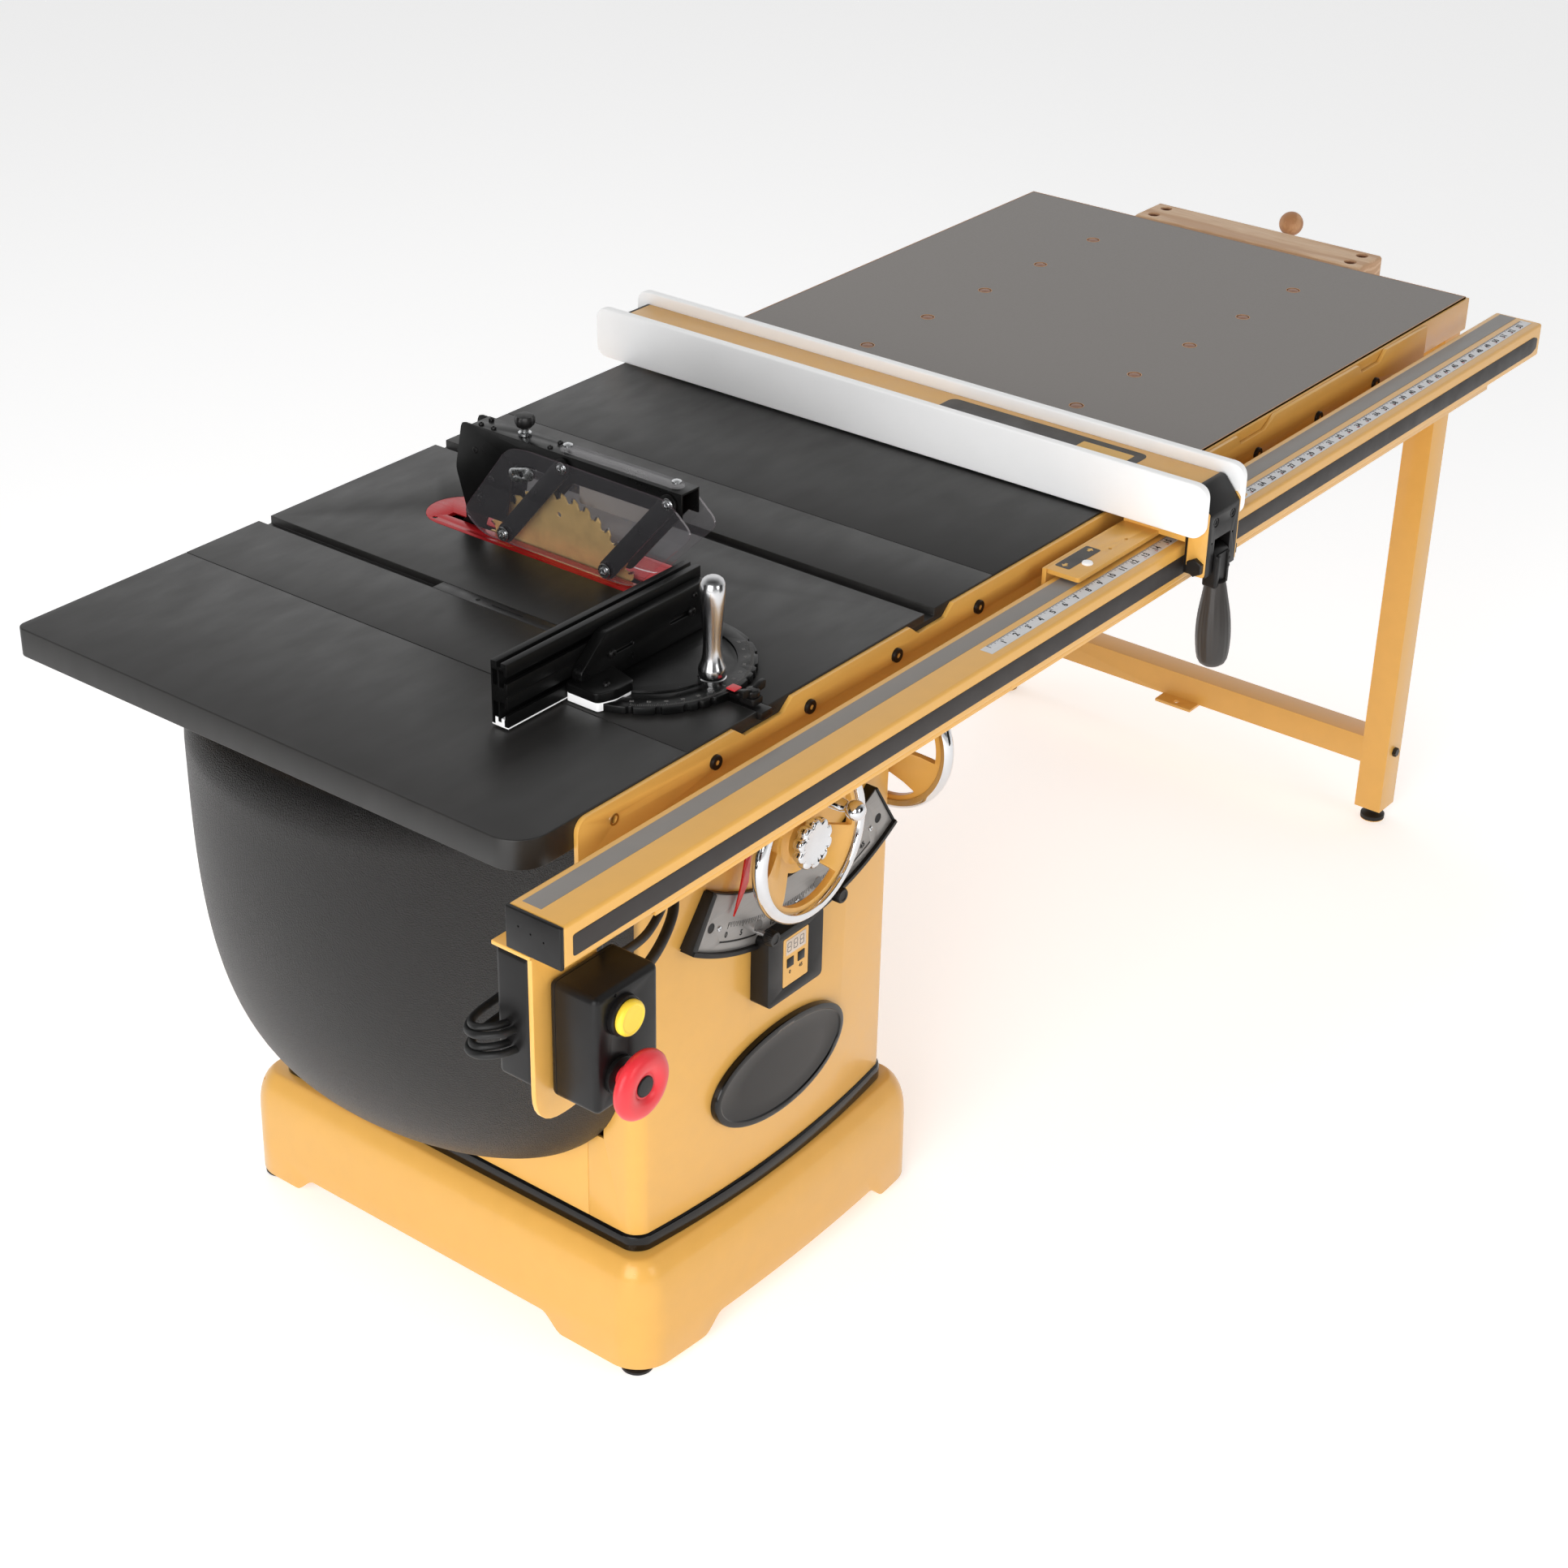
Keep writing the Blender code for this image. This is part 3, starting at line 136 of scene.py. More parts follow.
def bump_normal(tree, height, strength, distance):
    values = {"Height": height, "Strength": strength, "Distance": distance}
    return add_node(tree, "Bump", values).outputs["Normal"]


def surface(name, colour, rough, metal=0.0, vary=0.05, scale=40.0, stretch=(1, 1, 1),
            bump=0.02, bump_scale=600.0, bump_dist=0.0004, rough_vary=0.06, coat=0.0,
            spec=0.5, wear=0.0, wear_colour=None, transmission=0.0):
    """Principled surface with noise, in real metres, in its colour, roughness and height.

    With vary=0 the base colour is left for the caller to link.
    """
    mat = bpy.data.materials.new(name)
    materials[name] = mat
    mat.use_nodes = True
    tree = mat.node_tree
    principled = tree.nodes["Principled BSDF"]
    coords = add_node(tree, "TexCoord").outputs["Object"]
    stretched = add_node(tree, "Mapping", {"Vector": coords, "Scale": stretch}).outputs[0]
    patches = noise(tree, stretched, scale, 5)
    if vary:
        base = Vector(colour[:3])
        low = base * (1 - vary)
        high = [min(1, v) for v in base * (1 + vary)]
        tint = ramp(tree, patches, (0.3, (*low, 1)), (0.7, (*high, 1)))
        if wear:
            spots = noise(tree, stretched, scale * 0.35, 8, Roughness=0.7)
            worn = map_range(tree, spots, (0.52, 0.75), (0, wear))
            tint = add_node(tree, "Mix", {"Factor": worn, "A": tint, "B": wear_colour},
                            data_type="RGBA").outputs["Result"]
        set_inputs(principled, {"Base Color": tint})
    rough_range = (max(0.02, rough - rough_vary), rough + rough_vary)
    set_inputs(principled, {"Roughness": map_range(tree, patches, (0.3, 0.7), rough_range)})
    if bump:
        height = noise(tree, stretched, bump_scale, 3)
        set_inputs(principled, {"Normal": bump_normal(tree, height, bump, bump_dist)})
    set_inputs(principled, {"Metallic": metal, "Specular IOR Level": spec, "Coat Weight": coat,
                            "Coat Roughness": 0.08, "Transmission Weight": transmission,
                            "IOR": 1.45})
    mat.diffuse_color = (*colour[:3], 1.0)
    return mat


surface("gold_paint", srgb(220, 167, 82), rough=0.34, vary=0.02, bump=0.05, bump_scale=900,
        bump_dist=0.0002, coat=0.25, rough_vary=0.03)
surface("table_iron", srgb(34, 33, 32), rough=0.42, vary=0.1, scale=14, stretch=(1, 2.6, 1),
        bump=0.1, bump_scale=1400, bump_dist=0.0002, rough_vary=0.05, wear=0.5,
        wear_colour=srgb(46, 44, 43))
surface("cover_grain", srgb(27, 25, 24), rough=0.38, vary=0.1, scale=500, bump=1.0,
        bump_scale=620, bump_dist=0.0034, spec=0.6)
surface("black_moulded", srgb(20, 19, 19), rough=0.38, vary=0.08, bump=0.12,
        bump_scale=1500, bump_dist=0.0002, spec=0.32)
surface("black_gloss", srgb(12, 11, 11), rough=0.18, vary=0.08, bump=0.03, bump_scale=500,
        coat=0.15, spec=0.35, rough_vary=0.03)
surface("black_paint", srgb(10, 10, 10), rough=0.32, vary=0.08, bump=0.06, bump_scale=1200,
        bump_dist=0.0002, spec=0.32)
surface("black_anodised", srgb(12, 12, 12), rough=0.34, stretch=(0.05, 1, 1), scale=60,
        bump=0.03, bump_scale=300, bump_dist=0.0001, spec=0.3, rough_vary=0.02)
surface("grey_laminate", srgb(117, 111, 106), rough=0.4, vary=0.03, scale=300, bump=0.15,
        bump_scale=1600, bump_dist=0.0002, rough_vary=0.04)
surface("edge_band", srgb(196, 150, 110), rough=0.5, vary=0.1, scale=80, stretch=(0.2, 1, 1))
surface("white_polymer", srgb(250, 250, 250), rough=0.38, vary=0.01, bump=0.04,
        bump_scale=500, bump_dist=0.0003, spec=0.4)
surface("red_anodised", srgb(178, 22, 30), rough=0.3, metal=0.3, vary=0.06,
        stretch=(1, 0.1, 1), scale=200, bump=0.05, bump_scale=900)
surface("red_plastic", srgb(214, 48, 56), rough=0.36, vary=0.04, bump=0.05, bump_scale=700,
        coat=0.1)
surface("red_pointer", srgb(214, 26, 24), rough=0.22, vary=0.04, bump=0, transmission=0.35)
surface("yellow_plastic", srgb(240, 204, 62), rough=0.35, vary=0.04, bump=0.05,
        bump_scale=700)
surface("chrome_plate", (0.66, 0.66, 0.67, 1), rough=0.08, metal=1, vary=0.03, bump=0.03,
        bump_scale=220, bump_dist=0.0002, rough_vary=0.03)
surface("machined_steel", (0.46, 0.46, 0.47, 1), rough=0.32, metal=1, vary=0.12,
        stretch=(0.1, 1, 1), scale=260, bump=0.1, bump_scale=900, bump_dist=0.0001)
surface("zinc_screw", (0.62, 0.63, 0.64, 1), rough=0.28, metal=1, vary=0.1, scale=400,
        bump=0.05)
surface("black_oxide", srgb(16, 15, 15), rough=0.4, metal=0.1, vary=0.1, bump=0.06,
        bump_scale=900)
surface("iron_casting", srgb(60, 60, 62), rough=0.55, vary=0.15, scale=90, bump=0.5,
        bump_scale=420, bump_dist=0.0006, metal=0.2)
surface("black_rubber", srgb(20, 20, 20), rough=0.55, vary=0.1, bump=0.1, bump_scale=700)
surface("scale_plate", srgb(150, 147, 144), rough=0.36, metal=0.5, stretch=(0.1, 1, 1),
        scale=300, bump=0.05, bump_scale=900)
surface("steel_tape", srgb(206, 206, 207), rough=0.34, metal=0.35, stretch=(0.2, 1, 1),
        scale=200, bump=0.04, bump_scale=800)
surface("grey_strip", srgb(132, 128, 124), rough=0.42, metal=0.15, vary=0.03, scale=30,
        bump=0.05, bump_scale=900, bump_dist=0.0001, rough_vary=0.03)
surface("dark_strip", srgb(40, 35, 33), rough=0.48, vary=0.06, bump=0.15, bump_scale=1300,
        bump_dist=0.0002)
surface("dark_label", srgb(52, 49, 47), rough=0.4, bump=0.03)
surface("print_ink", srgb(22, 22, 22), rough=0.6, vary=0.1, bump=0)
surface("print_red", srgb(170, 30, 30), rough=0.6, vary=0.1, bump=0)
surface("print_gold", srgb(222, 176, 92), rough=0.45, bump=0)
surface("print_grey", srgb(112, 110, 108), rough=0.5, bump=0)
surface("pale_display", srgb(196, 178, 160), rough=0.15, bump=0, coat=0.5)
surface("dog_plug", srgb(140, 98, 74), rough=0.38, metal=0.1, vary=0.18, scale=300,
        bump=0.1, bump_scale=900)
surface("print_orange", srgb(206, 104, 40), rough=0.5, bump=0)
surface("polished_alloy", (0.6, 0.6, 0.61, 1), rough=0.2, metal=1, stretch=(1, 1, 0.1),
        scale=200, bump=0.04, bump_scale=500)
# flat black that stands for shade: painted shade in hollows and holes
surface("dark_recess", srgb(10, 10, 10), rough=0.8, vary=0.1, bump=0)


def clear_plastic(name, tint, haze, gloss):
    """Clear sheet: see-through, slightly hazy, with a sheen that grows at low angles."""
    tree = surface(name, tint, rough=0.05, vary=0.03, bump=0.03, bump_scale=40,
                   bump_dist=0.0006, rough_vary=0.02).node_tree
    fresnel = add_node(tree, "Fresnel", {"IOR": 1.5})
    smears = add_node(tree, "TexNoise", {"Scale": 18})
    # share of reflection = fresnel * gloss + haze
    share = add_node(tree, "Math", {0: fresnel.outputs[0], 1: gloss, 2: haze},
                     operation="MULTIPLY_ADD")
    through = add_node(tree, "BsdfTransparent", {"Color": (0.985, 0.980, 0.983, 1)})
    rough = map_range(tree, smears.outputs["Fac"], (0, 1), (0.03, 0.07))
    sheen = add_node(tree, "BsdfGlossy", {"Roughness": rough})
    body = tree.nodes["Principled BSDF"].outputs[0]
    coated = add_node(tree, "MixShader", {0: 0.25, 1: sheen.outputs[0], 2: body})
    mixed = add_node(tree, "MixShader", {0: share.outputs[0], 1: through.outputs[0],
                                         2: coated.outputs[0]})
    set_inputs(tree.nodes["Material Output"], {"Surface": mixed.outputs[0]})


clear_plastic("clear_polycarbonate", srgb(205, 203, 210), haze=0.001, gloss=0.16)
clear_plastic("clear_rim", srgb(206, 176, 190), haze=0.26, gloss=0.45)


def wood(name, light, dark, along):
    """Straight-grained wood: growth bands and fine pores, scaled by along."""
    tree = surface(name, light, rough=0.5, vary=0, scale=30, bump=0.12, bump_scale=300,
                   bump_dist=0.0003, stretch=along).node_tree
    coords = tree.nodes["Texture Coordinate"].outputs["Object"]
    grain = add_node(tree, "Mapping", {"Vector": coords, "Scale": along,
                                       "Rotation": (0.04, 0.03, 0.05)}).outputs[0]
    bands = add_node(tree, "TexWave", {"Vector": grain, "Scale": 26, "Distortion": 5.5,
                                       "Detail": 3, "Detail Scale": 1.2},
                     wave_type="BANDS", bands_direction="Z")
    pores = noise(tree, grain, 420, 4)
    # pores at 0.8 strength over the bands
    total = add_node(tree, "Math", {0: pores, 1: 0.8, 2: bands.outputs["Fac"]},
                     operation="MULTIPLY_ADD")
    colour = ramp(tree, total.outputs[0], (0.25, light), (1.25 / 1.6, dark))
    set_inputs(tree.nodes["Principled BSDF"], {"Base Color": colour})


wood("beech", light=srgb(222, 190, 156), dark=srgb(196, 156, 120), along=(1.0, 0.08, 1.0))
wood("beech_ball", light=srgb(206, 160, 118), dark=srgb(176, 126, 86), along=(1.0, 0.6, 0.3))


def blade_coating():
    """Gold coating with rings of fine grinding marks round the arbor."""
    tree = surface("blade_coating", (0.72, 0.50, 0.19, 1), rough=0.34, metal=0.55, vary=0.08,
                   scale=60, bump=0).node_tree
    coords = tree.nodes["Texture Coordinate"].outputs["Object"]
    centre = (BLADE_X - FRAME_OFFSET.x, ARBOR[0] - FRAME_OFFSET.y, ARBOR[1])
    offset = add_node(tree, "VectorMath", {0: coords, 1: centre}, operation="SUBTRACT")
    radius = add_node(tree, "VectorMath", {0: offset.outputs[0]}, operation="LENGTH")
    rings = add_node(tree, "CombineXYZ", {"X": radius.outputs["Value"]})
    marks = noise(tree, rings.outputs[0], 1800, 4)
    set_inputs(tree.nodes["Principled BSDF"],
               {"Normal": bump_normal(tree, marks, 0.25, 0.0002), "Anisotropic": 0.5})


blade_coating()


# ================================================================ solids
shape_count = 0


def from_bmesh(bm):
    global shape_count
    bmesh.ops.recalc_face_normals(bm, faces=bm.faces)
    shape_count += 1
    mesh = bpy.data.meshes.new(f"shape_{shape_count}")
    bm.to_mesh(mesh)
    bm.free()
    obj = bpy.data.objects.new(f"shape_{shape_count}", mesh)
    bpy.context.scene.collection.objects.link(obj)
    return obj


def box(x0, x1, y0, y1, z0, z1, bevel=0.0, segments=2):
    bm = bmesh.new()
    bmesh.ops.create_cube(bm, size=1.0)
    for v in bm.verts:
        v.co = Vector((x0 + (v.co.x + 0.5) * (x1 - x0), y0 + (v.co.y + 0.5) * (y1 - y0),
                       z0 + (v.co.z + 0.5) * (z1 - z0)))
    if bevel:
        bmesh.ops.bevel(bm, geom=bm.edges[:], offset=bevel, segments=segments,
                        affect="EDGES", profile=0.5)
    return from_bmesh(bm)


def on_axis(axis, pair, along):
    """Point from its place along an axis and its other two coordinates, in x, y, z order."""
    a, b = pair
    return {"x": (along, a, b), "y": (a, along, b), "z": (a, b, along)}[axis]


def prism(points, axis, start, end):
    """A closed outline of on_axis() pairs pushed along an axis."""
    bm = bmesh.new()
    low = [bm.verts.new(on_axis(axis, p, start)) for p in points]
    high = [bm.verts.new(on_axis(axis, p, end)) for p in points]
    bm.faces.new(low)
    bm.faces.new(high[::-1])
    n = len(points)
    for i in range(n):
        bm.faces.new((low[i], high[i], high[(i + 1) % n], low[(i + 1) % n]))
    return from_bmesh(bm)


def lathe(profile, at, axis, steps=64, wave=None):
    """Turns a closed outline of (radius, height); wave(angle, r, h) may change the radius."""
    turn = Vector(UP).rotation_difference(Vector(axis)).to_matrix().to_4x4()
    place = Matrix.Translation(Vector(at)) @ turn
    bm = bmesh.new()
    rings = []
    for r, h in profile:
        if r < 1e-7:
            rings.append([bm.verts.new(place @ Vector((0, 0, h)))])
            continue
        ring = []
        for k in range(steps):
            t = 2 * math.pi * k / steps
            q = wave(t, r, h) if wave else r
            ring.append(bm.verts.new(place @ Vector((q * math.cos(t), q * math.sin(t), h))))
        rings.append(ring)
    for a, b in zip(rings, rings[1:] + rings[:1]):
        if len(a) == 1 and len(b) == 1:
            continue
        for k in range(steps):
            j = (k + 1) % steps
            if len(a) == 1:
                bm.faces.new((a[0], b[j], b[k]))
            elif len(b) == 1:
                bm.faces.new((a[k], a[j], b[0]))
            else:
                bm.faces.new((a[k], a[j], b[j], b[k]))
    return from_bmesh(bm)


def cylinder(start, end, r, steps=32):
    start, end = Vector(start), Vector(end)
    h = (end - start).length
    return lathe([(0, 0), (r, 0), (r, h), (0, h)], start, (end - start) / h, steps)


def rod(axis, pair, start, end, r, steps=32):
    """Cylinder along a main axis, placed as in on_axis()."""
    return cylinder(on_axis(axis, pair, start), on_axis(axis, pair, end), r, steps)


def pin(start, end, r, edge=0.0006, steps=32):
    """Round bar with broken edges."""
    start, end = Vector(start), Vector(end)
    h = (end - start).length
    profile = [(0, 0), (r - edge, 0), (r, edge), (r, h - edge), (r - edge, h), (0, h)]
    return lathe(profile, start, (end - start) / h, steps)


def loft(rings):
    bm = bmesh.new()
    rows = [[bm.verts.new(p) for p in ring] for ring in rings]
    n = len(rows[0])
    for a, b in zip(rows, rows[1:]):
        for k in range(n):
            j = (k + 1) % n
            bm.faces.new((a[k], a[j], b[j], b[k]))
    bm.faces.new(rows[0][::-1])
    bm.faces.new(rows[-1])
    return from_bmesh(bm)


def tube(points, r, steps, sub=10):
    """Round tube along a smooth curve through the points."""
    pts = [Vector(p) for p in points]
    pts = [pts[0] * 2 - pts[1]] + pts + [pts[-1] * 2 - pts[-2]]
    line = []
    for a, b, c, d in zip(pts, pts[1:], pts[2:], pts[3:]):
        for s in range(sub):
            t = s / sub
            line.append(0.5 * ((2 * b) + (c - a) * t + (2 * a - 5 * b + 4 * c - d) * t * t
                               + (3 * b - a - 3 * c + d) * t ** 3))
    line.append(pts[-2])
    rings, side = [], None
    for i, p in enumerate(line):
        ahead = (line[min(i + 1, len(line) - 1)] - line[max(i - 1, 0)]).normalized()
        if side is None:
            side = ahead.orthogonal().normalized()
        side = (side - ahead * side.dot(ahead)).normalized()
        up = ahead.cross(side)
        turns = (2 * math.pi * k / steps for k in range(steps))
        rings.append([p + (side * math.cos(t) + up * math.sin(t)) * r for t in turns])
    return loft(rings)


def bars(items):
    """Many small boxes as one mesh: (centre, right, up, half sizes along right, up, out)."""
    bm = bmesh.new()
    ends = (-1, 1)
    for at, right, up, hx, hy, hz in items:
        at, right, up = Vector(at), Vector(right).normalized(), Vector(up).normalized()
        out = right.cross(up)
        vs = [bm.verts.new(at + right * hx * i + up * hy * j + out * hz * k)
              for i in ends for j in ends for k in ends]
        for f in ((0, 1, 3, 2), (4, 6, 7, 5), (0, 4, 5, 1), (2, 3, 7, 6), (0, 2, 6, 4),
                  (1, 5, 7, 3)):
            bm.faces.new([vs[i] for i in f])
    return from_bmesh(bm)


# ================================================================ outlines
def around(centre, r, degrees):
    t = math.radians(degrees)
    return (centre[0] + r * math.cos(t), centre[1] + r * math.sin(t))


def below(centre, r, degrees):
    """(x, z) point hanging under a centre, swung to the right by an angle."""
    t = math.radians(degrees)
    return (centre[0] + r * math.sin(t), centre[1] - r * math.cos(t))


def sector(r0, r1, a0, a1, n=48, at=TILT_AXIS):
    """Band between two radii and two hanging angles."""
    return ([below(at, r1, a0 + (a1 - a0) * k / n) for k in range(n + 1)]
            + [below(at, r0, a1 - (a1 - a0) * k / n) for k in range(n + 1)])


def quarter(centre, r, start, n):
    return [around(centre, r, start + 90 * k / n) for k in range(n + 1)]


def plan(x0, x1, y0, y1, r, bow):
    """Rounded rectangle in x, y whose front edge bows forward."""
    middle, half = (x0 + x1) / 2, (x1 - x0) / 2

    def dip(x):
        return bow * (1 - ((x - middle) / half) ** 2)

    points = []
    for cx, cy, start in ((x0 + r, y0 + r, 180), (x1 - r, y0 + r, 270),
                          (x1 - r, y1 - r, 0), (x0 + r, y1 - r, 90)):
        if start == 270:
            edge = [x0 + r + (x1 - x0 - 2 * r) * k / 18 for k in range(1, 18)]
            points += [(x, y0 - dip(x)) for x in edge]
        for x, y in quarter((cx, cy), r, start, 12):
            if start in (180, 270):
                y -= dip(x) * (cy - y) / r
            points.append((x, y))
    return points


def cabinet_plan(grow, r, bow=CAB_BOW):
    return plan(CAB[0] - grow, CAB[1] + grow, CAB[2] - grow, CAB[3] + grow, r, bow)


def cabinet_core():
    """Cutter that trims a piece to the outside of the cabinet front."""
    return prism(cabinet_plan(0.0003, 0.02), "z", 0.10, 0.87)


def stadium(p, q, r, n=16):
    a = math.atan2(q[1] - p[1], q[0] - p[0])
    points = []
    for centre, start in ((q, a - math.pi / 2), (p, a + math.pi / 2)):
        for k in range(n + 1):
            t = start + math.pi * k / n
            points.append((centre[0] + r * math.cos(t), centre[1] + r * math.sin(t)))
    return points


def rounded(points, r, n=8):
    """The outline with each corner replaced by a quadratic curve."""
    out = []
    for i, corner in enumerate(points):
        p, c, q = Vector(points[i - 1]), Vector(corner), Vector(points[(i + 1) % len(points)])
        u, v = (p - c), (q - c)
        reach = min(r, 0.45 * u.length, 0.45 * v.length)
        u.normalize()
        v.normalize()
        for k in range(n + 1):
            t = k / n
            s = c + u * reach * (1 - t) ** 2 + v * reach * t ** 2
            out.append((s.x, s.y))
    return out


def rounded_box(x0, x1, y0, y1, r, n=8):
    """Rounded rectangle; x and y stand for whichever pair the prism takes."""
    return rounded([(x0, y0), (x1, y0), (x1, y1), (x0, y1)], r, n)


# ================================================================ combining and placing
def bake_modifiers(obj):
    graph = bpy.context.evaluated_depsgraph_get()
    mesh = bpy.data.meshes.new_from_object(obj.evaluated_get(graph))
    obj.modifiers.clear()
    obj.data = mesh


def merge(base, add=(), cut=()):
    """Booleans that use up the added and cut shapes."""
    for kind, others in (("UNION", add), ("DIFFERENCE", cut)):
        for other in others:
            mod = base.modifiers.new(kind.lower(), "BOOLEAN")
            mod.operation = kind
            mod.solver = "EXACT"
            mod.object = other
            bpy.context.view_layer.update()
            bake_modifiers(base)
            bpy.data.objects.remove(other, do_unlink=True)
    return base


def join(shapes):
    """Several shapes as one mesh, without a boolean."""
    bm = bmesh.new()
    for shape in shapes:
        bm.from_mesh(shape.data)
        bpy.data.objects.remove(shape, do_unlink=True)
    return from_bmesh(bm)


EDGE_ANGLE = 32     # degrees; sharper edges are bevelled


def put(name, shape, skin, body="root", bevel=0.0, segments=2, replaces=None,
        pick=None, smooth=True, from_cad=False):
    """Finishes the piece v_<name>: row frame, materials, rounded edges and riding body.

    A list of shapes is joined; pick(normal) chooses a face's material among several;
    CAD copies already lie in the row frame and get their flat faces cleaned.
    """
    obj = join(shape) if isinstance(shape, list) else shape
    obj.name = obj.data.name = "v_" + name
    if not from_cad:
        obj.data.transform(Matrix.Translation(-FRAME_OFFSET))
    obj.data.materials.clear()
    for skin_name in [skin] if isinstance(skin, str) else skin:
        obj.data.materials.append(materials[skin_name])
    for poly in obj.data.polygons:
        poly.material_index = pick(poly.normal) if pick else 0
    if bevel:
        bm = bmesh.new()
        bm.from_mesh(obj.data)
        bmesh.ops.remove_doubles(bm, verts=bm.verts, dist=2e-6)
        if from_cad:
            bmesh.ops.dissolve_limit(bm, angle_limit=math.radians(0.6), verts=bm.verts[:],
                                     edges=bm.edges[:], delimit={"MATERIAL"})
        bm.to_mesh(obj.data)
        bm.free()
        mod = obj.modifiers.new("edge", "BEVEL")
        mod.width = bevel
        mod.segments = segments
        mod.limit_method = "ANGLE"
        mod.angle_limit = math.radians(EDGE_ANGLE)
        mod.use_clamp_overlap = True
        mod.miter_outer = "MITER_ARC"
        bpy.context.view_layer.update()
        bake_modifiers(obj)
    if smooth:
        obj.data.shade_smooth()
        obj.data.set_sharp_from_angle(angle=math.radians(EDGE_ANGLE + 6))
    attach(obj, body)
    if replaces:
        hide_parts(replaces)


def refine(node, skin, bevel, segments=2):
    """A softened copy of a CAD node that stands for it."""
    bm = bmesh.new()
    bm.from_mesh(NODES[node].data)
    bmesh.ops.remove_doubles(bm, verts=bm.verts, dist=4e-6)
    mesh = bpy.data.meshes.new(node + "_clean")
    bm.to_mesh(mesh)
    bm.free()
    obj = bpy.data.objects.new(node + "_copy", mesh)
    bpy.context.scene.collection.objects.link(obj)
    put(node, obj, skin, BODY[node], bevel, segments, replaces=node, from_cad=True)


def letters(name, items, skin, body="root", depth=0.0001):
    """Printed characters. Each item is (text, size, centre, right, up)."""
    bm = bmesh.new()
    for text, size, at, right, up in items:
        curve = bpy.data.curves.new("txt", "FONT")
        curve.body, curve.size = text, size
        curve.align_x, curve.align_y = "CENTER", "CENTER"
        curve.extrude = depth / 2
        curve.resolution_u = 3
        curve.offset = size * 0.028
        obj = bpy.data.objects.new("txt", curve)
        bpy.context.scene.collection.objects.link(obj)
        right, up = Vector(right).normalized(), Vector(up).normalized()
        place = Matrix((right, up, right.cross(up))).transposed().to_4x4()
        place.translation = Vector(at)
        obj.matrix_world = place
        bpy.context.view_layer.update()
        graph = bpy.context.evaluated_depsgraph_get()
        mesh = bpy.data.meshes.new_from_object(obj.evaluated_get(graph))
        mesh.transform(place)
        bm.from_mesh(mesh)
        bpy.data.objects.remove(obj, do_unlink=True)
    put(name, from_bmesh(bm), skin, body, smooth=False)


def screw_head(at, axis, r, h, kind="hex"):
    """Button head with a hexagon socket or a cross recess."""
    axis, at = Vector(axis).normalized(), Vector(at)
    head = lathe([(0, 0), (r, 0), (r, h * 0.45), (r * 0.93, h * 0.8), (r * 0.72, h), (0, h)],
                 at, axis, 32)
    if kind == "hex":
        cuts = [cylinder(at + axis * h * 0.35, at + axis * h * 1.5, r * 0.48, 6)]
    else:
        side = axis.orthogonal().normalized()
        up = axis.cross(side)
        cuts = [bars([(at + axis * h, d, e, r * 0.55, r * 0.13, h * 0.45)])
                for d, e in ((side, up), (up, side))]
    return merge(head, cut=cuts)


def hex_bolt(at, axis, across, h):
    r = across / 2
    profile = [(0, 0), (r * 1.1547, 0), (r * 1.1547, h * 0.85), (r * 1.02, h), (0, h)]
    return lathe(profile, at, Vector(axis).normalized(), 6)


# ================================================================ plinth
PLINTH = (-0.4655, 0.0965, 0.0445, 0.725)    # x0, x1, y0, y1
PLINTH_RADIUS = 0.045
PLINTH_BOTTOM = 0.0125
ARCH_TOP, SHOULDER = 0.036, 0.034            # relief height and length of its S-shaped ends

# z, inset of the outline
PLINTH_LAYERS = (
    (PLINTH_BOTTOM, 0), (0.06, 0.0004), (0.105, 0.001), (0.12, 0.0018), (0.131, 0.0035),
    (0.14, 0.006), (0.147, 0.009), (0.1525, 0.012), (0.157, 0.0155), (0.1602, 0.0185),
    (0.162, 0.0205), (0.163, 0.023))


def arch(start, end):
    """Side profile of the relief under a plinth edge."""
    rise = []
    for k in range(11):
        t = k / 10
        ease = t * t * (3 - 2 * t)
        rise.append((SHOULDER * t, PLINTH_BOTTOM + (ARCH_TOP - PLINTH_BOTTOM) * ease))
    return ([(start - 0.01, -0.01), (start - 0.01, 0)] + [(start + run, z) for run, z in rise]
            + [(end - run, z) for run, z in reversed(rise)]
            + [(end + 0.01, 0), (end + 0.01, -0.01)])


px0, px1, py0, py1 = PLINTH
plinth = loft([[(x, y, z) for x, y in plan(px0 + inset, px1 - inset, py0 + inset, py1 - inset,
                                           PLINTH_RADIUS - inset, 0.014)]
               for z, inset in PLINTH_LAYERS])
merge(plinth, cut=(box(-0.448, 0.079, 0.068, 0.705, -0.02, 0.15),
                   prism(arch(-0.356, 0.016), "y", -0.02, 0.8),
                   prism(arch(0.172, 0.638), "x", -0.6, 0.2)))
put("plinth", plinth, "gold_paint", bevel=0.0012, replaces="base_plinth")
FOOT_PROFILE = [(0, 0), (0.0185, 0), (0.02, 0.0015), (0.02, 0.005), (0.012, 0.008),
                (0.0075, 0.01), (0.0075, 0.018), (0, 0.018)]
put("plinth_feet", [lathe(FOOT_PROFILE, (x, y, 0), UP, 48)
                    for y in (0.074, 0.696) for x in (-0.438, 0.068)],
    "black_rubber")

# ================================================================ cabinet
DUST_X, DUST_Z = -0.18, 0.3
DUST_BORE = 0.048
SLOT_HALF = 0.014           # half width of the curved slot the raising wheel swings along

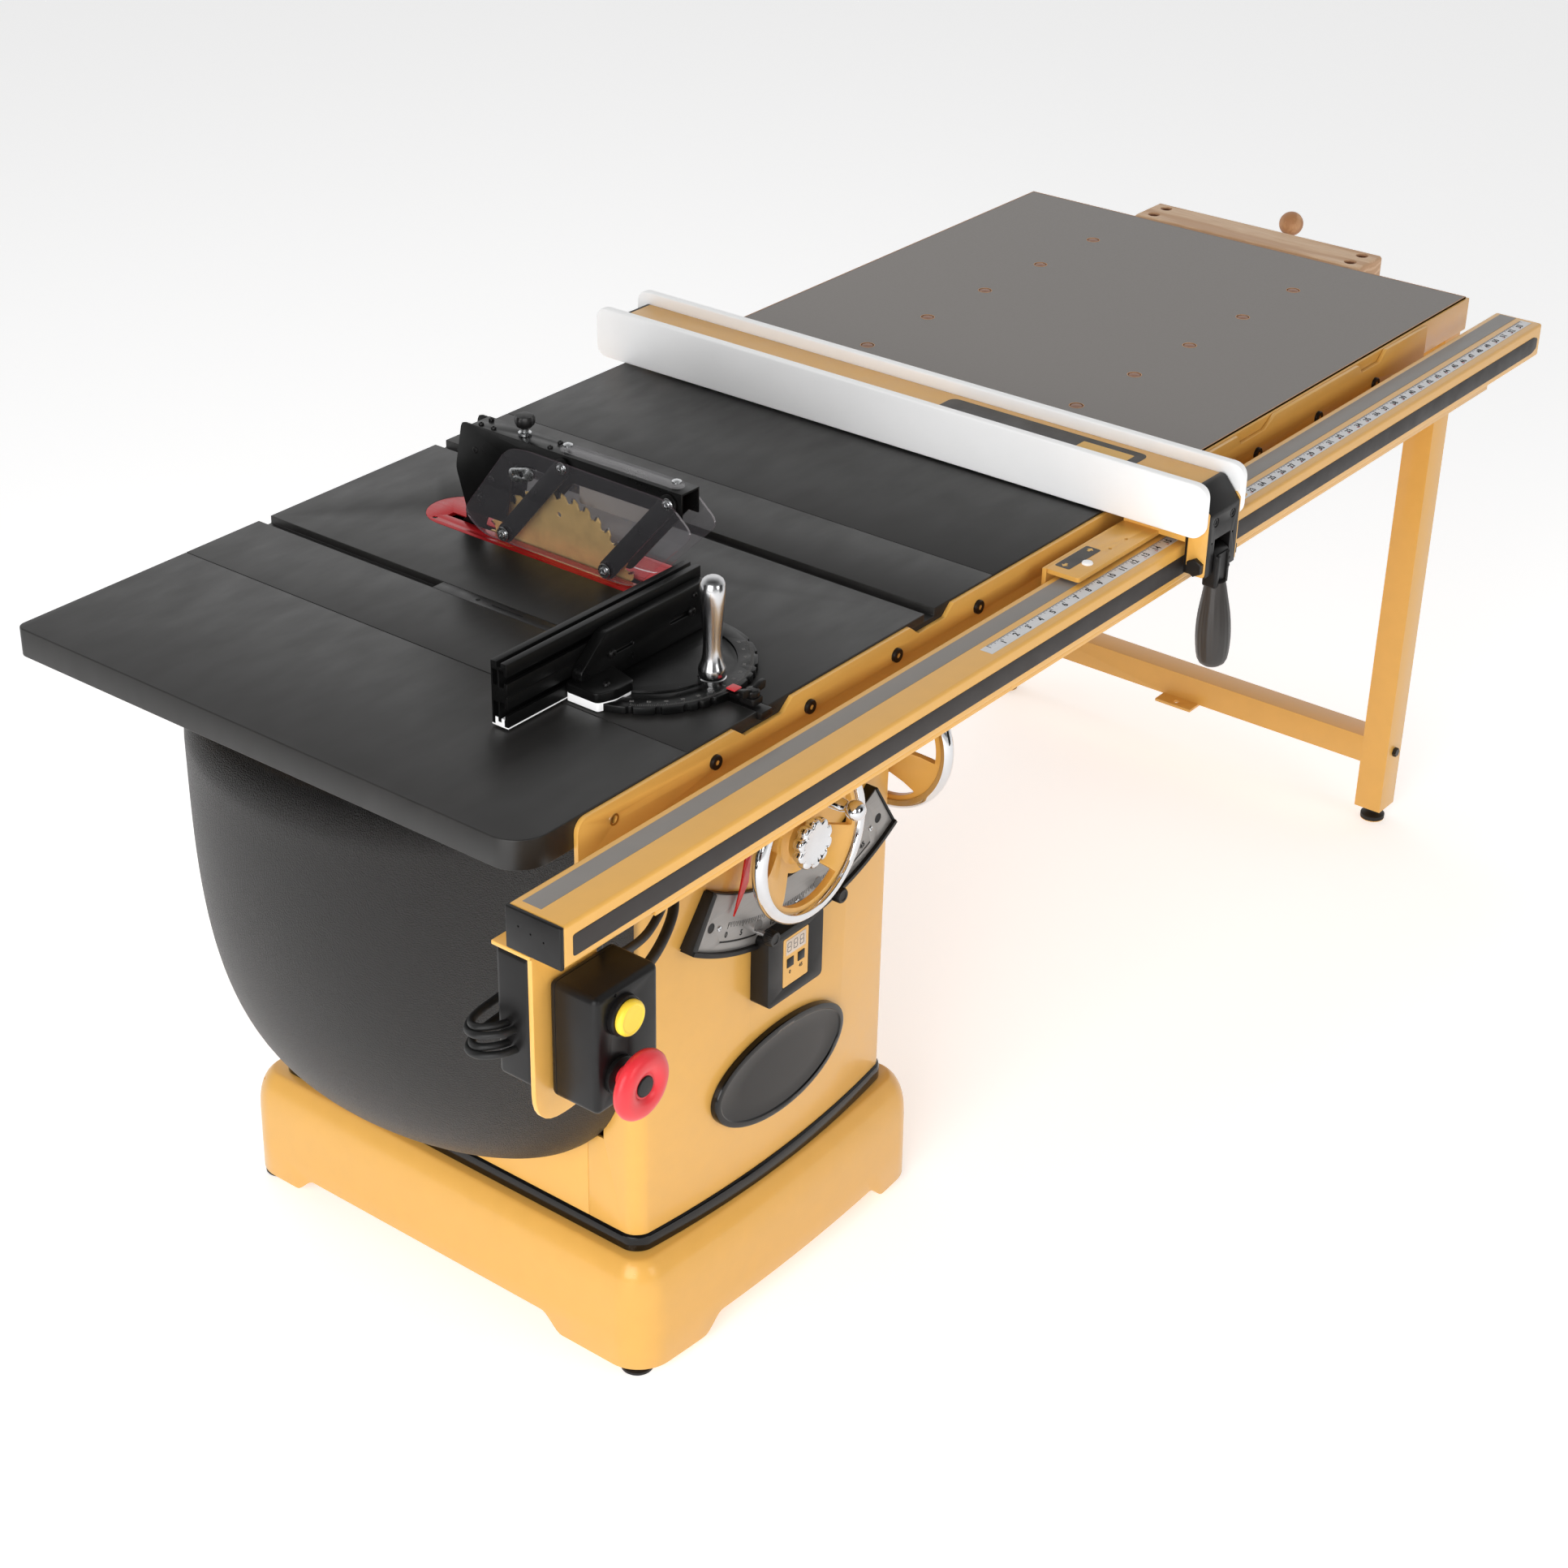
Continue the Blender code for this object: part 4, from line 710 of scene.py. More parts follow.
# z, inset
BAND_LAYERS = ((0.1633, 0.0012), (0.1642, 0), (0.1785, 0), (0.1832, 0.0008), (0.1857, 0.003))
band = loft([[(x, y, z) for x, y in cabinet_plan(0.003 - inset, 0.022, 0.021)]
             for z, inset in BAND_LAYERS])
merge(band, cut=[box(-0.408, 0.039, 0.105, 0.66, 0.15, 0.2)])
put("trim_band", band, "black_gloss", bevel=0.0004, replaces="trim_band")

shell = prism(cabinet_plan(0, 0.02), "z", 0.186, 0.8397)
merge(shell, cut=[
    prism(cabinet_plan(-0.0035, 0.017), "z", 0.17, 0.86),
    box(-0.45, -0.41, 0.13, 0.64, 0.31, 0.77),
    prism(sector(WHEEL_SWING - SLOT_HALF, WHEEL_SWING + SLOT_HALF, -26.1, 27.9),
          "y", 0.02, 0.12),
    rod("x", TILT_WHEEL.yz, 0.03, 0.09, 0.015),
    rod("y", (DUST_X, DUST_Z), 0.65, 0.72, DUST_BORE, 48),
] + [box(-0.4325, -0.4292, y, y + 0.0008, 0.18, 0.84) for y in (0.1545, 0.64)])
put("cabinet", shell, "gold_paint", bevel=0.0006, replaces="cabinet_shell")
# Black sheet low inside the cabinet front: painted shade for the dark inside of the cabinet.
SHADE_SHEET_INSET = 0.005
put("cabinet_shade_sheet", prism(plan(CAB[0] + SHADE_SHEET_INSET, CAB[1] - SHADE_SHEET_INSET,
                                 CAB[2] + SHADE_SHEET_INSET, 0.17, 0.017, CAB_BOW),
                            "z", 0.188, 0.19), "dark_recess")
put("cabinet_screws", [screw_head((CAB[0], 0.665, z), LEFT, 0.0045, 0.0022, "cross")
                       for z in (0.23, 0.8)], "black_oxide")

# ---------------------------------------------------------------- motor cover, left side
COVER_Y = 0.3835                        # middle
COVER_WALL = CAB[0] - 0.0003            # x
COVER_SHOULDER_Z = 0.7138               # full width and bulge above this
COVER_SIDE_POWER, COVER_BULGE_POWER = 4.0, 2.42
COVER_FOLD = 0.038                      # radius of the rounded top edge


def cover_rings(half_width, bulge, bottom, top, inside, n=72):
    """Half rings stacked up the cover; the inside ones close behind the cabinet wall."""
    drop = COVER_SHOULDER_Z - bottom
    zs = [float(z) for z in bottom + drop * (1 - np.cos(np.linspace(0.10, math.pi / 2, 34)))]
    straight = top - (0.022 if inside else 0.040) - COVER_SHOULDER_Z
    zs += [COVER_SHOULDER_Z + straight * k / 6 for k in range(1, 7)]
    rows = [(z, 0.0) for z in zs]
    if inside:
        rows.append((top, 0.0))
    else:
        for k in range(1, 10):
            t = math.radians(9 * k)
            rows.append((top - COVER_FOLD * (1 - math.sin(t)), COVER_FOLD * (1 - math.cos(t))))
        rows.append((top, 0.033))
    rings = []
    for z, inset in rows:
        t = max(0.0, (COVER_SHOULDER_Z - z) / drop)
        width = (1 - t ** COVER_SIDE_POWER) ** (1 / COVER_SIDE_POWER)
        depth = (1 - t ** COVER_BULGE_POWER) ** (1 / COVER_BULGE_POWER)
        reach = max(0.0, bulge * depth - inset)
        ring = []
        for k in range(n + 1):
            s = math.pi * k / n
            ring.append((COVER_WALL - reach * max(0.0, math.sin(s)),
                         COVER_Y - (half_width * width - inset * 0.6) * math.cos(s), z))
        if inside:
            back = COVER_WALL + 0.02
            ring += [(back, ring[-1][1], z), (back, ring[0][1], z)]
        rings.append(ring)
    return rings


cover = loft(cover_rings(half_width=0.3035, bulge=0.2577, bottom=0.2519, top=0.8,
                         inside=False))
merge(cover, cut=[loft(cover_rings(half_width=0.2985, bulge=0.253, bottom=0.2575, top=0.752,
                                   inside=True))])
put("motor_cover", cover, "cover_grain", "cover", replaces="motor_cover")
HINGE_X, HINGE_Y = -0.436, 0.692
hinges = []
for z in (0.47, 0.66):
    hinges.append(pin((HINGE_X, HINGE_Y, z - 0.032), (HINGE_X, HINGE_Y, z + 0.032), 0.0046))
    hinges += [lathe([(0.0044, 0), (0.0055, 0.0004), (0.0055, 0.0076), (0.0044, 0.008)],
                     (HINGE_X, HINGE_Y, z + k * 0.009 - 0.004), UP, 24)
               for k in range(-3, 4, 2)]
put("cover_hinges", hinges, "black_oxide")

# ---------------------------------------------------------------- dust port, rear
PORT_HALF, PORT_SCREW = 0.065, 0.056    # half side of the flange; screw distance in x and z
flange = box(DUST_X - PORT_HALF, DUST_X + PORT_HALF, 0.6828, 0.6868,
             DUST_Z - PORT_HALF, DUST_Z + PORT_HALF, bevel=0.0015)
spout = lathe([(0.047, 0), (0.051, 0), (0.051, 0.04), (0.0522, 0.042), (0.0522, 0.046),
               (0.051, 0.048), (0.051, 0.059), (0.05, 0.061), (0.048, 0.061), (0.047, 0.06)],
              (DUST_X, 0.684, DUST_Z), REAR, 96)
merge(flange, cut=[rod("y", (DUST_X, DUST_Z), 0.66, 0.76, DUST_BORE, 96)])
put("dust_port", [flange, spout], "black_moulded", replaces="dust_port")
put("dust_screws", [screw_head((DUST_X + dx, 0.6868, DUST_Z + dz), REAR, 0.0042, 0.0024,
                               "cross")
                    for dx in (-PORT_SCREW, PORT_SCREW) for dz in (-PORT_SCREW, PORT_SCREW)],
    "zinc_screw")


# ---------------------------------------------------------------- badge, cabinet front
def oval(half_x, half_z, lift):
    """Oval ring that follows the bow of the cabinet front."""
    middle, half = (CAB[0] + CAB[1]) / 2, (CAB[1] - CAB[0]) / 2
    ring = []
    for k in range(120):
        t = 2 * math.pi * k / 120
        x, z = -0.185 + half_x * math.cos(t), 0.318 + half_z * math.sin(t)
        front = CAB[2] - CAB_BOW * (1 - ((x - middle) / half) ** 2)
        ring.append((x, front - lift, z))
    return ring


# half width, half height, lift off the cabinet
BADGE_RINGS = ((0.126, 0.064, 0.0004), (0.126, 0.064, 0.0072), (0.1252, 0.0632, 0.0088),
               (0.1225, 0.0605, 0.0096), (0.118, 0.056, 0.0092), (0.1165, 0.0545, 0.0078),
               (0.115, 0.053, 0.0074), (0.08, 0.036, 0.0074), (0.035, 0.015, 0.0074))
put("badge", loft([oval(*ring) for ring in BADGE_RINGS]), "black_gloss",
    replaces="badge_plate")

# ================================================================ bevel scale
SCALE_CENTRE = (-0.1676, TOP)       # x, z
SCALE_FACE_Y = 0.0546
SCALE_ZERO = -22.4                  # hanging angle of the 0 mark
THUMB_RADIUS, THUMB_ANGLES = 0.348, (-12.0, 9.7)


def scale_band(r0, r1, a0, a1, y0, y1, n=48):
    return prism(sector(r0, r1, a0, a1, n, SCALE_CENTRE), "y", y0, y1)


def on_scale(r, degrees, y):
    x, z = below(SCALE_CENTRE, r, degrees)
    return (x, y, z)


def scale_mark(degrees, r, y):
    """Point on the scale and the outward direction there."""
    t = math.radians(degrees)
    out = Vector((math.sin(t), 0, -math.cos(t)))
    return Vector((SCALE_CENTRE[0], y, SCALE_CENTRE[1])) + out * r, out


scale_body = scale_band(0.292, 0.366, -31.6, 32.2, 0.0552, 0.1)
merge(scale_body, add=(scale_band(0.3635, 0.369, -31.8, 32.4, 0.05, 0.098),
                       scale_band(0.294, 0.366, -32.2, -30.6, 0.052, 0.094, 6),
                       scale_band(0.2925, 0.366, 32, 32.5, 0.053, 0.092, 4)),
      cut=[cabinet_core()])
put("scale_body", scale_body, "black_moulded", bevel=0.0012, segments=3,
    replaces="bevel_scale")
scale_face = scale_band(0.2935, 0.3632, -30.4, 31.9, SCALE_FACE_Y, 0.0556)
holes = [cylinder(on_scale(0.334, a, 0.04), on_scale(0.334, a, 0.07), 0.0064)
         for a in (-28.1, 29.1)]
slots = [scale_band(0.3498, 0.3522, a0, a1, 0.05, 0.06, 16)
         for a0, a1 in ((-23.9, -10.5), (-9, 16.4), (17.9, 24.9))]
merge(scale_face, cut=holes + slots)
put("scale_face", scale_face, "scale_plate", bevel=0.0003)
ticks, numbers = [], []
for k in range(91):                 # half degrees
    length = 0.004 if k % 10 == 0 else 0.0032 if k % 2 == 0 else 0.002
    middle = 0.3265 + (length if k else length + 0.0004)
    at, out = scale_mark(SCALE_ZERO + k / 2, middle, 0.05445)
    half_width = 0.00022 if k % 10 else 0.0004
    ticks.append((at, Vector((out.z, 0, -out.x)), out, half_width, length, 0.00012))
for degrees in range(0, 46, 5):
    at, out = scale_mark(SCALE_ZERO + degrees, 0.3425, 0.05435)
    numbers.append((str(degrees), 0.01, at, Vector((-out.z, 0, out.x)), -out))
put("scale_ticks", bars(ticks), "print_ink")
letters("scale_numbers", numbers, "print_ink", depth=0.00012)
put("scale_screws", [screw_head(on_scale(0.3341, a, SCALE_FACE_Y), FRONT, 0.0034, 0.0016)
                     for a in (-25.3, 0.5, 26.2)], "zinc_screw")
put("scale_spots", [pin(on_scale(r, a, 0.0548), on_scale(r, a, 0.0541), 0.0072)
                    for r, a in ((0.3398, -11.9), (0.3296, 7.5))], "print_grey")
put("scale_studs", [pin(on_scale(THUMB_RADIUS, a, 0.056), on_scale(THUMB_RADIUS, a, 0.04),
                        0.0036) for a in THUMB_ANGLES], "chrome_plate")
THUMB_PROFILE = [(0, 0.0078), (0.0064, 0.0078), (0.0082, 0.0092), (0.0094, 0.011),
                 (0.0094, 0.0205), (0.0086, 0.0222), (0.006, 0.0222), (0.0054, 0.0214),
                 (0, 0.0212)]


def knurl(t, r, h):
    return r + (0.0004 * math.cos(24 * t) if r > 0.009 else 0)


put("scale_thumbs", [lathe(THUMB_PROFILE, on_scale(THUMB_RADIUS, a, 0.049), FRONT, 96, knurl)
                     for a in THUMB_ANGLES], "black_oxide")

# ================================================================ read-out
readout = merge(prism(rounded_box(-0.243, -0.138, 0.435, 0.53, 0.0075), "y", 0.0345, 0.1),
                add=[box(-0.2425, -0.1385, 0.0345, 0.043, 0.47, 0.527)],
                cut=(cabinet_core(),
                     box(-0.2155, -0.1655, 0.03, 0.0352, 0.4505, 0.5195)))
put("readout", readout, "black_moulded", bevel=0.0006, replaces="digital_readout")
put("readout_label", prism(rounded_box(-0.2145, -0.1665, 0.4515, 0.5185, 0.0025),
                           "y", 0.0346, 0.0356), "gold_paint")
put("readout_display", prism(rounded_box(-0.2095, -0.1715, 0.4945, 0.5155, 0.0012),
                             "y", 0.0341, 0.0348), "pale_display", bevel=0.0002)
put("readout_keys", [box(x, x + 0.0125, 0.0336, 0.0348, 0.4765, 0.489, bevel=0.0005)
                     for x in (-0.2075, -0.1865)], "black_moulded")
letters("readout_print", [(text, 0.007, (x, 0.0345, 0.469), RIGHT, UP)
                          for text, x in (("0", -0.2013), ("45", -0.1803))],
        "print_ink", depth=0.00012)
# display segments: centre x, z in the digit, half width, half height
SEGMENTS = ((0, 0.006, 0.003, 0.0005), (0, 0, 0.003, 0.0005), (0, -0.006, 0.003, 0.0005),
            (-0.0034, 0.003, 0.0005, 0.0025), (0.0034, 0.003, 0.0005, 0.0025),
            (-0.0034, -0.003, 0.0005, 0.0025), (0.0034, -0.003, 0.0005, 0.0025))
put("readout_segments", bars([((-0.2035 + k * 0.012 + dx, 0.03405, 0.505 + dz), RIGHT, UP,
                               w, h, 0.0001) for k in range(3) for dx, dz, w, h in SEGMENTS]),
    "print_grey")

# ================================================================ cast tables
TABLE_REAR = 0.7768
WING_LEFT = -0.694
JOINTS = (-0.4353, 0.1307)              # x where the wings meet the main table
refine("main_table", "table_iron", 0.0008)
refine("right_wing", "table_iron", 0.0008)
wing = prism(quarter((WING_LEFT + 0.04, 0.04), 0.04, 180, 20)
             + [(JOINTS[0], 0), (JOINTS[0], TABLE_REAR)]
             + quarter((WING_LEFT + 0.012, TABLE_REAR - 0.012), 0.012, 90, 8),
             "z", 0.84, TOP)
merge(wing, cut=(box(-0.683, -0.57, 0.044, 0.762, 0.82, 0.867),
                 box(-0.56, -0.447, 0.015, 0.762, 0.82, 0.867)))
put("left_wing", wing, "table_iron", bevel=0.0014, segments=3, replaces="left_wing")
joint_bolts = []
for x in JOINTS:
    for y in (0.12, 0.39, 0.66):
        joint_bolts += [hex_bolt((x - 0.01, y, 0.852), LEFT, 0.013, 0.006),
                        pin((x - 0.01, y, 0.852), (x + 0.016, y, 0.852), 0.004)]
put("table_bolts", joint_bolts, "machined_steel")

INSERT_SCREWS = ((-0.171, 0.619), (-0.103, 0.619), (-0.171, 0.268), (-0.103, 0.268))
insert = prism([(BLADE_X + 0.015 + side, along)
                for along, side in stadium((0.28, 0), (0.605, 0), 0.045, 32)],
               "z", 0.87, 0.87585)
blade_slot = prism([(-0.1568, 0.868), (-0.138, 0.868), (-0.1472, 0.8765), (-0.1472, 0.88),
                    (-0.1568, 0.88)], "y", 0.286, 0.612)
merge(insert, cut=[blade_slot, rod("z", (-0.108, 0.585), 0.86, 0.89, 0.0075)]
      + [rod("z", p, 0.8735, 0.88, 0.0032, 24) for p in INSERT_SCREWS])
put("insert", insert, "red_anodised", bevel=0.0005, replaces="throat_insert")
put("insert_screws", [screw_head((*p, 0.8736), UP, 0.0028, 0.0016) for p in INSERT_SCREWS],
    "black_oxide")

# ================================================================ rails
RAIL_Y, RAIL_Z = (-0.1115, -0.0385), (0.8095, 0.8585)
RAIL_BORE = (-0.1085, -0.0415, 0.8125, 0.8555)      # y0, y1, z0, z1
STRIP_Z = (0.8583, 0.8589)                          # strip and tape on top of the rail
refine("front_rail_angle", "gold_paint", 0.0009)
RAIL_BOLTS = ((-0.396, 0.85), (-0.2315, 0.85), (-0.069, 0.85), (0.094, 0.85),
              (0.746, 0.832), (0.91, 0.832), (1.072, 0.832))
RAIL_BOLT_PROFILE = [(0, 0), (0.0086, 0), (0.0086, 0.0034), (0.0078, 0.0044), (0, 0.0044)]
put("rail_bolts", [merge(lathe(RAIL_BOLT_PROFILE, (x, -0.0062, z), FRONT, 40),
                         cut=[rod("y", (x, z), -0.0085, -0.02, 0.0036, 6)])
                   for x, z in RAIL_BOLTS], "black_oxide")
put("rail_hole", lathe([(0.0046, 0), (0.0068, -0.0004), (0.0068, 0.0002), (0.0046, 0.003)],
                       (-0.5595, -0.0063, 0.852), REAR, 32), "chrome_plate")
refine("rear_rail_angle", "gold_paint", 0.0008)
put("rear_bolts", [hex_bolt((x, 0.7832, 0.85), REAR, 0.013, 0.006)
                   for x in (-0.5, -0.3, -0.069, 0.094, 0.3, 0.6, 0.91, 1.15)], "black_oxide")

rail = box(-0.7558, 1.377, *RAIL_Y, *RAIL_Z, bevel=0.004, segments=5)
merge(rail, cut=(box(-0.8, 1.3, *RAIL_BORE), box(1.372, 1.39, *RAIL_BORE)))
put("rail_tube", rail, "gold_paint", replaces="front_rail_tube")
cap = box(-0.7605, -0.7553, *RAIL_Y, *RAIL_Z, bevel=0.0016, segments=3)
merge(cap, cut=[rod("x", p, -0.762, -0.759, 0.0012, 16)
                for p in ((-0.056, 0.84), (-0.072, 0.837), (-0.089, 0.834))])
put("rail_cap", cap, "black_moulded")
put("rail_cap_right", box(1.3728, 1.3768, -0.1098, -0.0402, 0.8112, 0.8568, bevel=0.0012),
    "black_moulded")
put("rail_strip", box(-0.745, 1.3705, -0.0726, -0.048, *STRIP_Z, bevel=0.0002), "grey_strip")
front_strip = rounded([(-0.743, 0.819), (1.352, 0.819), (1.366, 0.824), (1.366, 0.839),
                       (1.352, 0.844), (-0.743, 0.844)], 0.004)
put("rail_front_strip", prism(front_strip, "y", -0.112, -0.1112), "dark_strip", bevel=0.0002)

# ---------------------------------------------------------------- measuring tape in inches
INCH = 0.0254
LAST_TICK = 1.362
# every so many sixteenths, half tick length
TICK_LENGTHS = ((16, 0.0034), (8, 0.0024), (4, 0.0017), (2, 0.0011), (1, 0.0007))
put("tape", box(-0.012, 1.366, -0.0991, -0.0822, *STRIP_Z, bevel=0.0001, segments=1),
    "steel_tape")
ticks, numbers, reds = [], [], []
for k in range(int(LAST_TICK / (INCH / 16)) + 1):
    length = next(half for step, half in TICK_LENGTHS if k % step == 0)
    ticks.append(((k * INCH / 16, -0.0825 - length, 0.85895), RIGHT, REAR,
                  0.00026 if k % 16 else 0.00042, length, 0.00008))
for k in range(1, 54):
    x = k * INCH
    numbers.append((str(k), 0.0112, (x - 0.004, -0.0922, 0.85898), RIGHT, REAR))
    if k % 12 == 0:
        numbers.append((str(k // 12), 0.0052, (x - 0.01, -0.0938, 0.85898), RIGHT, REAR))
    elif k > 12:
        reds.append((str(k % 12), 0.0048, (x - 0.0105, -0.0955, 0.85898), RIGHT, REAR))
put("tape_ticks", bars(ticks), "print_ink")
letters("tape_numbers", numbers, "print_ink")
letters("tape_small_numbers", reds, "print_red")

# ================================================================ extension table and legs
BOARD = (0.3903, 1.3607, 0.0046, 0.7622)        # x0, x1, y0, y1
BAND = 0.0013                                   # edge strip thickness
DOGS = [(x, y) for x in (0.64, 0.785, 0.93, 1.0765, 1.222) for y in (0.2125, 0.56)]
refine("extension_frame", "gold_paint", 0.0009)
board = merge(box(*BOARD, 0.8503, TOP), cut=[rod("z", p, 0.83, 0.89, 0.0095, 40) for p in DOGS])
put("extension_top", board, ["grey_laminate", "edge_band"], replaces="extension_top",
    pick=lambda normal: 0 if normal.z > 0.9 else 1)
bx0, bx1, by0, by1 = BOARD
band_span = (bx0 + 0.002, bx1 - 0.0005)
BAND_Z = (0.87, 0.87625)
put("edge_strip", [box(*band_span, by0, by0 + BAND, *BAND_Z),
                   box(bx1 - BAND, bx1, by0, by1, *BAND_Z),
                   box(*band_span, by1 - BAND, by1, *BAND_Z)], "edge_band")
PLUG_PROFILE = [(0, 0), (0.0092, 0), (0.0092, 0.023), (0.0078, 0.0248), (0.004, 0.0256),
                (0, 0.0258)]
put("dog_plugs", [lathe(PLUG_PROFILE, (*p, 0.8508), UP, 40) for p in DOGS],
    "dog_plug")
RING_PROFILE = [(0.0093, 0), (0.0104, 0), (0.0101, 0.0003), (0.0093, 0.0003)]
put("dog_rings", [lathe(RING_PROFILE, (*p, 0.87595), UP, 40) for p in DOGS], "edge_band")
refine("leg_frame", "gold_paint", 0.0012, 3)
LEG_X = 1.3355
LEG_FOOT_PROFILE = [(0, 0), (0.0175, 0), (0.019, 0.0015), (0.019, 0.008), (0.0092, 0.0125),
                    (0.0092, 0.0236), (0, 0.0236)]
put("leg_feet", [lathe(LEG_FOOT_PROFILE, (LEG_X, y, 0), UP, 48) for y in (0.0268, 0.737)],
    "black_rubber")
put("leg_bolts", [hex_bolt((LEG_X, y, z), axis, 0.013, 0.006)
                  for y, z, axis in ((0.0046, 0.127, FRONT), (0.76, 0.127, REAR),
                                     (0.0046, 0.79, FRONT))], "black_oxide")

# ================================================================ end vise
VISE_Y, VISE_Z = 0.372, 0.790
VISE_BAR_X = 1.5
BALL_RADIUS, BALL_DROP = 0.01875, 0.1618        # end balls; lower centre below the upper
refine("vise_jaw", "beech", 0.0022, 4)
BUSH_PROFILE = [(0.007, 0), (0.0093, 0), (0.0093, 0.015), (0.007, 0.015)]
put("jaw_bushes", [lathe(BUSH_PROFILE, (x, y, 0.8585), UP, 40)
                   for x in (1.387, 1.424) for y in (0.553, 0.208)], "dog_plug", "jaw")
thread = [(0.01 if k % 2 else 0.0086, 0.004 + k * 0.0022) for k in range(118)]
screw = lathe([(0, 0), (0.0092, 0)] + thread
              + [(0.01, 0.268), (0.01, 0.29), (0.0165, 0.2903), (0.017, 0.291),
                 (0.017, 0.2955), (0.0145, 0.299), (0.0145, 0.358), (0.013, 0.3605),
                 (0.0115, 0.361), (0, 0.361)], (1.1537, VISE_Y, VISE_Z), RIGHT, 40)
merge(screw, cut=[rod("z", (VISE_BAR_X, VISE_Y), 0.75, 0.83, 0.0062)])
put("vise_screw", screw, "machined_steel", "jaw_screw", replaces="vise_screw")


def ball_points(height, steps):
    """Profile points of an end ball, counted in 24ths from its lowest point."""
    return [(BALL_RADIUS * math.sin(math.pi * k / 24),
             height - BALL_RADIUS * math.cos(math.pi * k / 24)) for k in steps]


put("vise_bar", lathe([(0, -BALL_DROP)] + ball_points(-BALL_DROP, range(1, 22))
                      + [(0.0055, -0.144), (0.0055, -0.018)] + ball_points(0, range(3, 24))
                      + [(0, BALL_RADIUS)], (VISE_BAR_X, VISE_Y, 0.871), UP, 48),
    "beech_ball", "jaw_bar", replaces="vise_bar")

# ================================================================ motor and blade
MOTOR = (0.36, 0.641)                           # y, z of the motor axis
for node in ("trunnion_front", "trunnion_rear", "tilt_cradle", "arbor_arm", "motor"):
    refine(node, "iron_casting", 0.0012)
refine("motor_pulley", "machined_steel", 0.0005)
refine("arbor_shaft", "machined_steel", 0.0005)
refine("drive_belt", "black_rubber", 0.0006)
FIN_PROFILE = [(0.0795, 0), (0.0835, 0.0004), (0.0835, 0.0026), (0.0795, 0.003)]
put("motor_fins", [lathe(FIN_PROFILE, (-0.46 + k * 0.0105, *MOTOR), RIGHT)
                   for k in range(13)], "iron_casting", "arm")
fan = lathe([(0, -0.4945), (0.066, -0.4945), (0.066, -0.492), (0, -0.492)], (0, *MOTOR), RIGHT)
vents = []
for r, count in ((0.025, 8), (0.04, 14), (0.055, 20)):
    vents += [rod("x", around(MOTOR, r, 360 * k / count), -0.5, -0.48, 0.0042, 12)
              for k in range(count)]
put("motor_fan", merge(fan, cut=vents), "black_moulded", "arm")

TEETH = 40
# fraction of the tooth pitch, radius
TOOTH = ((0, 0.1268), (0.05, 0.1262), (0.3, 0.1242), (0.45, 0.1225), (0.52, 0.12),
         (0.6, 0.1172), (0.7, 0.116), (0.82, 0.1166), (0.93, 0.119), (0.985, 0.1225))
TIP = ((0, 0.127), (0.12, 0.1262), (0.1, 0.1195), (-0.03, 0.1195))


def tooth_points(k, stations):
    return [around(ARBOR, r, 360 * (k + fraction) / TEETH) for fraction, r in stations]


disc = prism([p for k in range(TEETH) for p in tooth_points(k, TOOTH)],
             "x", BLADE_X - 0.0012, BLADE_X + 0.0012)
merge(disc, cut=[rod("x", ARBOR, -0.17, -0.13, 0.0084, 40)]
      + [rod("x", around(ARBOR, 0.098, math.degrees(0.3) + 72 * k), -0.17, -0.13, 0.0032, 20)
         for k in range(5)])
put("blade", disc, "blade_coating", "arbor", bevel=0.0002, segments=1, replaces="saw_blade")
put("blade_tips", [prism(tooth_points(k, TIP), "x", BLADE_X - 0.0015, BLADE_X + 0.0015)
                   for k in range(TEETH)], "machined_steel", "arbor")

# ================================================================ guard
GUARD_X = -0.157
refine("splitter_plate", "black_paint", 0.0003, 1)
refine("guard_channel", "black_paint", 0.0011, 3)
put("guard_window", prism([(GUARD_X + side, along)
                           for along, side in stadium((0.245, 0), (0.41, 0), 0.0095)],
                          "z", 1.0172, 1.0212), "clear_polycarbonate", "cradle", bevel=0.0005)
put("guard_window_rim", [lathe([(0.004, 0), (0.0058, 0.0003), (0.0058, 0.0024),
                                (0.003, 0.004), (0, 0.0042), (0, 0)],
                               (GUARD_X, y, 1.0212), UP, 32) for y in (0.245, 0.41)],
    "zinc_screw", "cradle")
heads = [screw_head((GUARD_X + dx, y, 1.017), UP, 0.0034, 0.0026)
         for dx, y in ((-0.009, 0.43), (0.009, 0.43), (-0.009, 0.54), (0.009, 0.54),
                       (-0.009, 0.52))]
for y, z in ((0.545, 0.985), (0.54, 0.925), (0.52, 0.955)):
    heads += [screw_head((GUARD_X - 0.016, y, z), LEFT, 0.004, 0.0007),
              screw_head((GUARD_X + 0.016, y, z), RIGHT, 0.004, 0.0007)]
put("guard_screws", heads, "black_oxide", "cradle")
KNOB_AT = (GUARD_X, 0.478, 0.99)
put("guard_stud", lathe([(0, 0), (0.004, 0), (0.004, 0.0275), (0.008, 0.0277), (0.008, 0.031),
                         (0.005, 0.032), (0.005, 0.037), (0.005, 0.0372), (0, 0.0372)],
                        KNOB_AT, UP, 40), "zinc_screw", "guard_screw")


def five_lobes(t, r, h):
    return r * (1 - (0.13 * (0.5 + 0.5 * math.cos(5 * t)) if r > 0.01 else 0))


put("guard_knob", lathe([(0, 0.036), (0.006, 0.036), (0.0085, 0.038), (0.0118, 0.0405),
                         (0.0128, 0.044), (0.0128, 0.049), (0.0112, 0.0522), (0.007, 0.053),
                         (0, 0.053)], KNOB_AT, UP, 96, five_lobes),
    "black_moulded", "guard_screw", replaces="guard_knob")

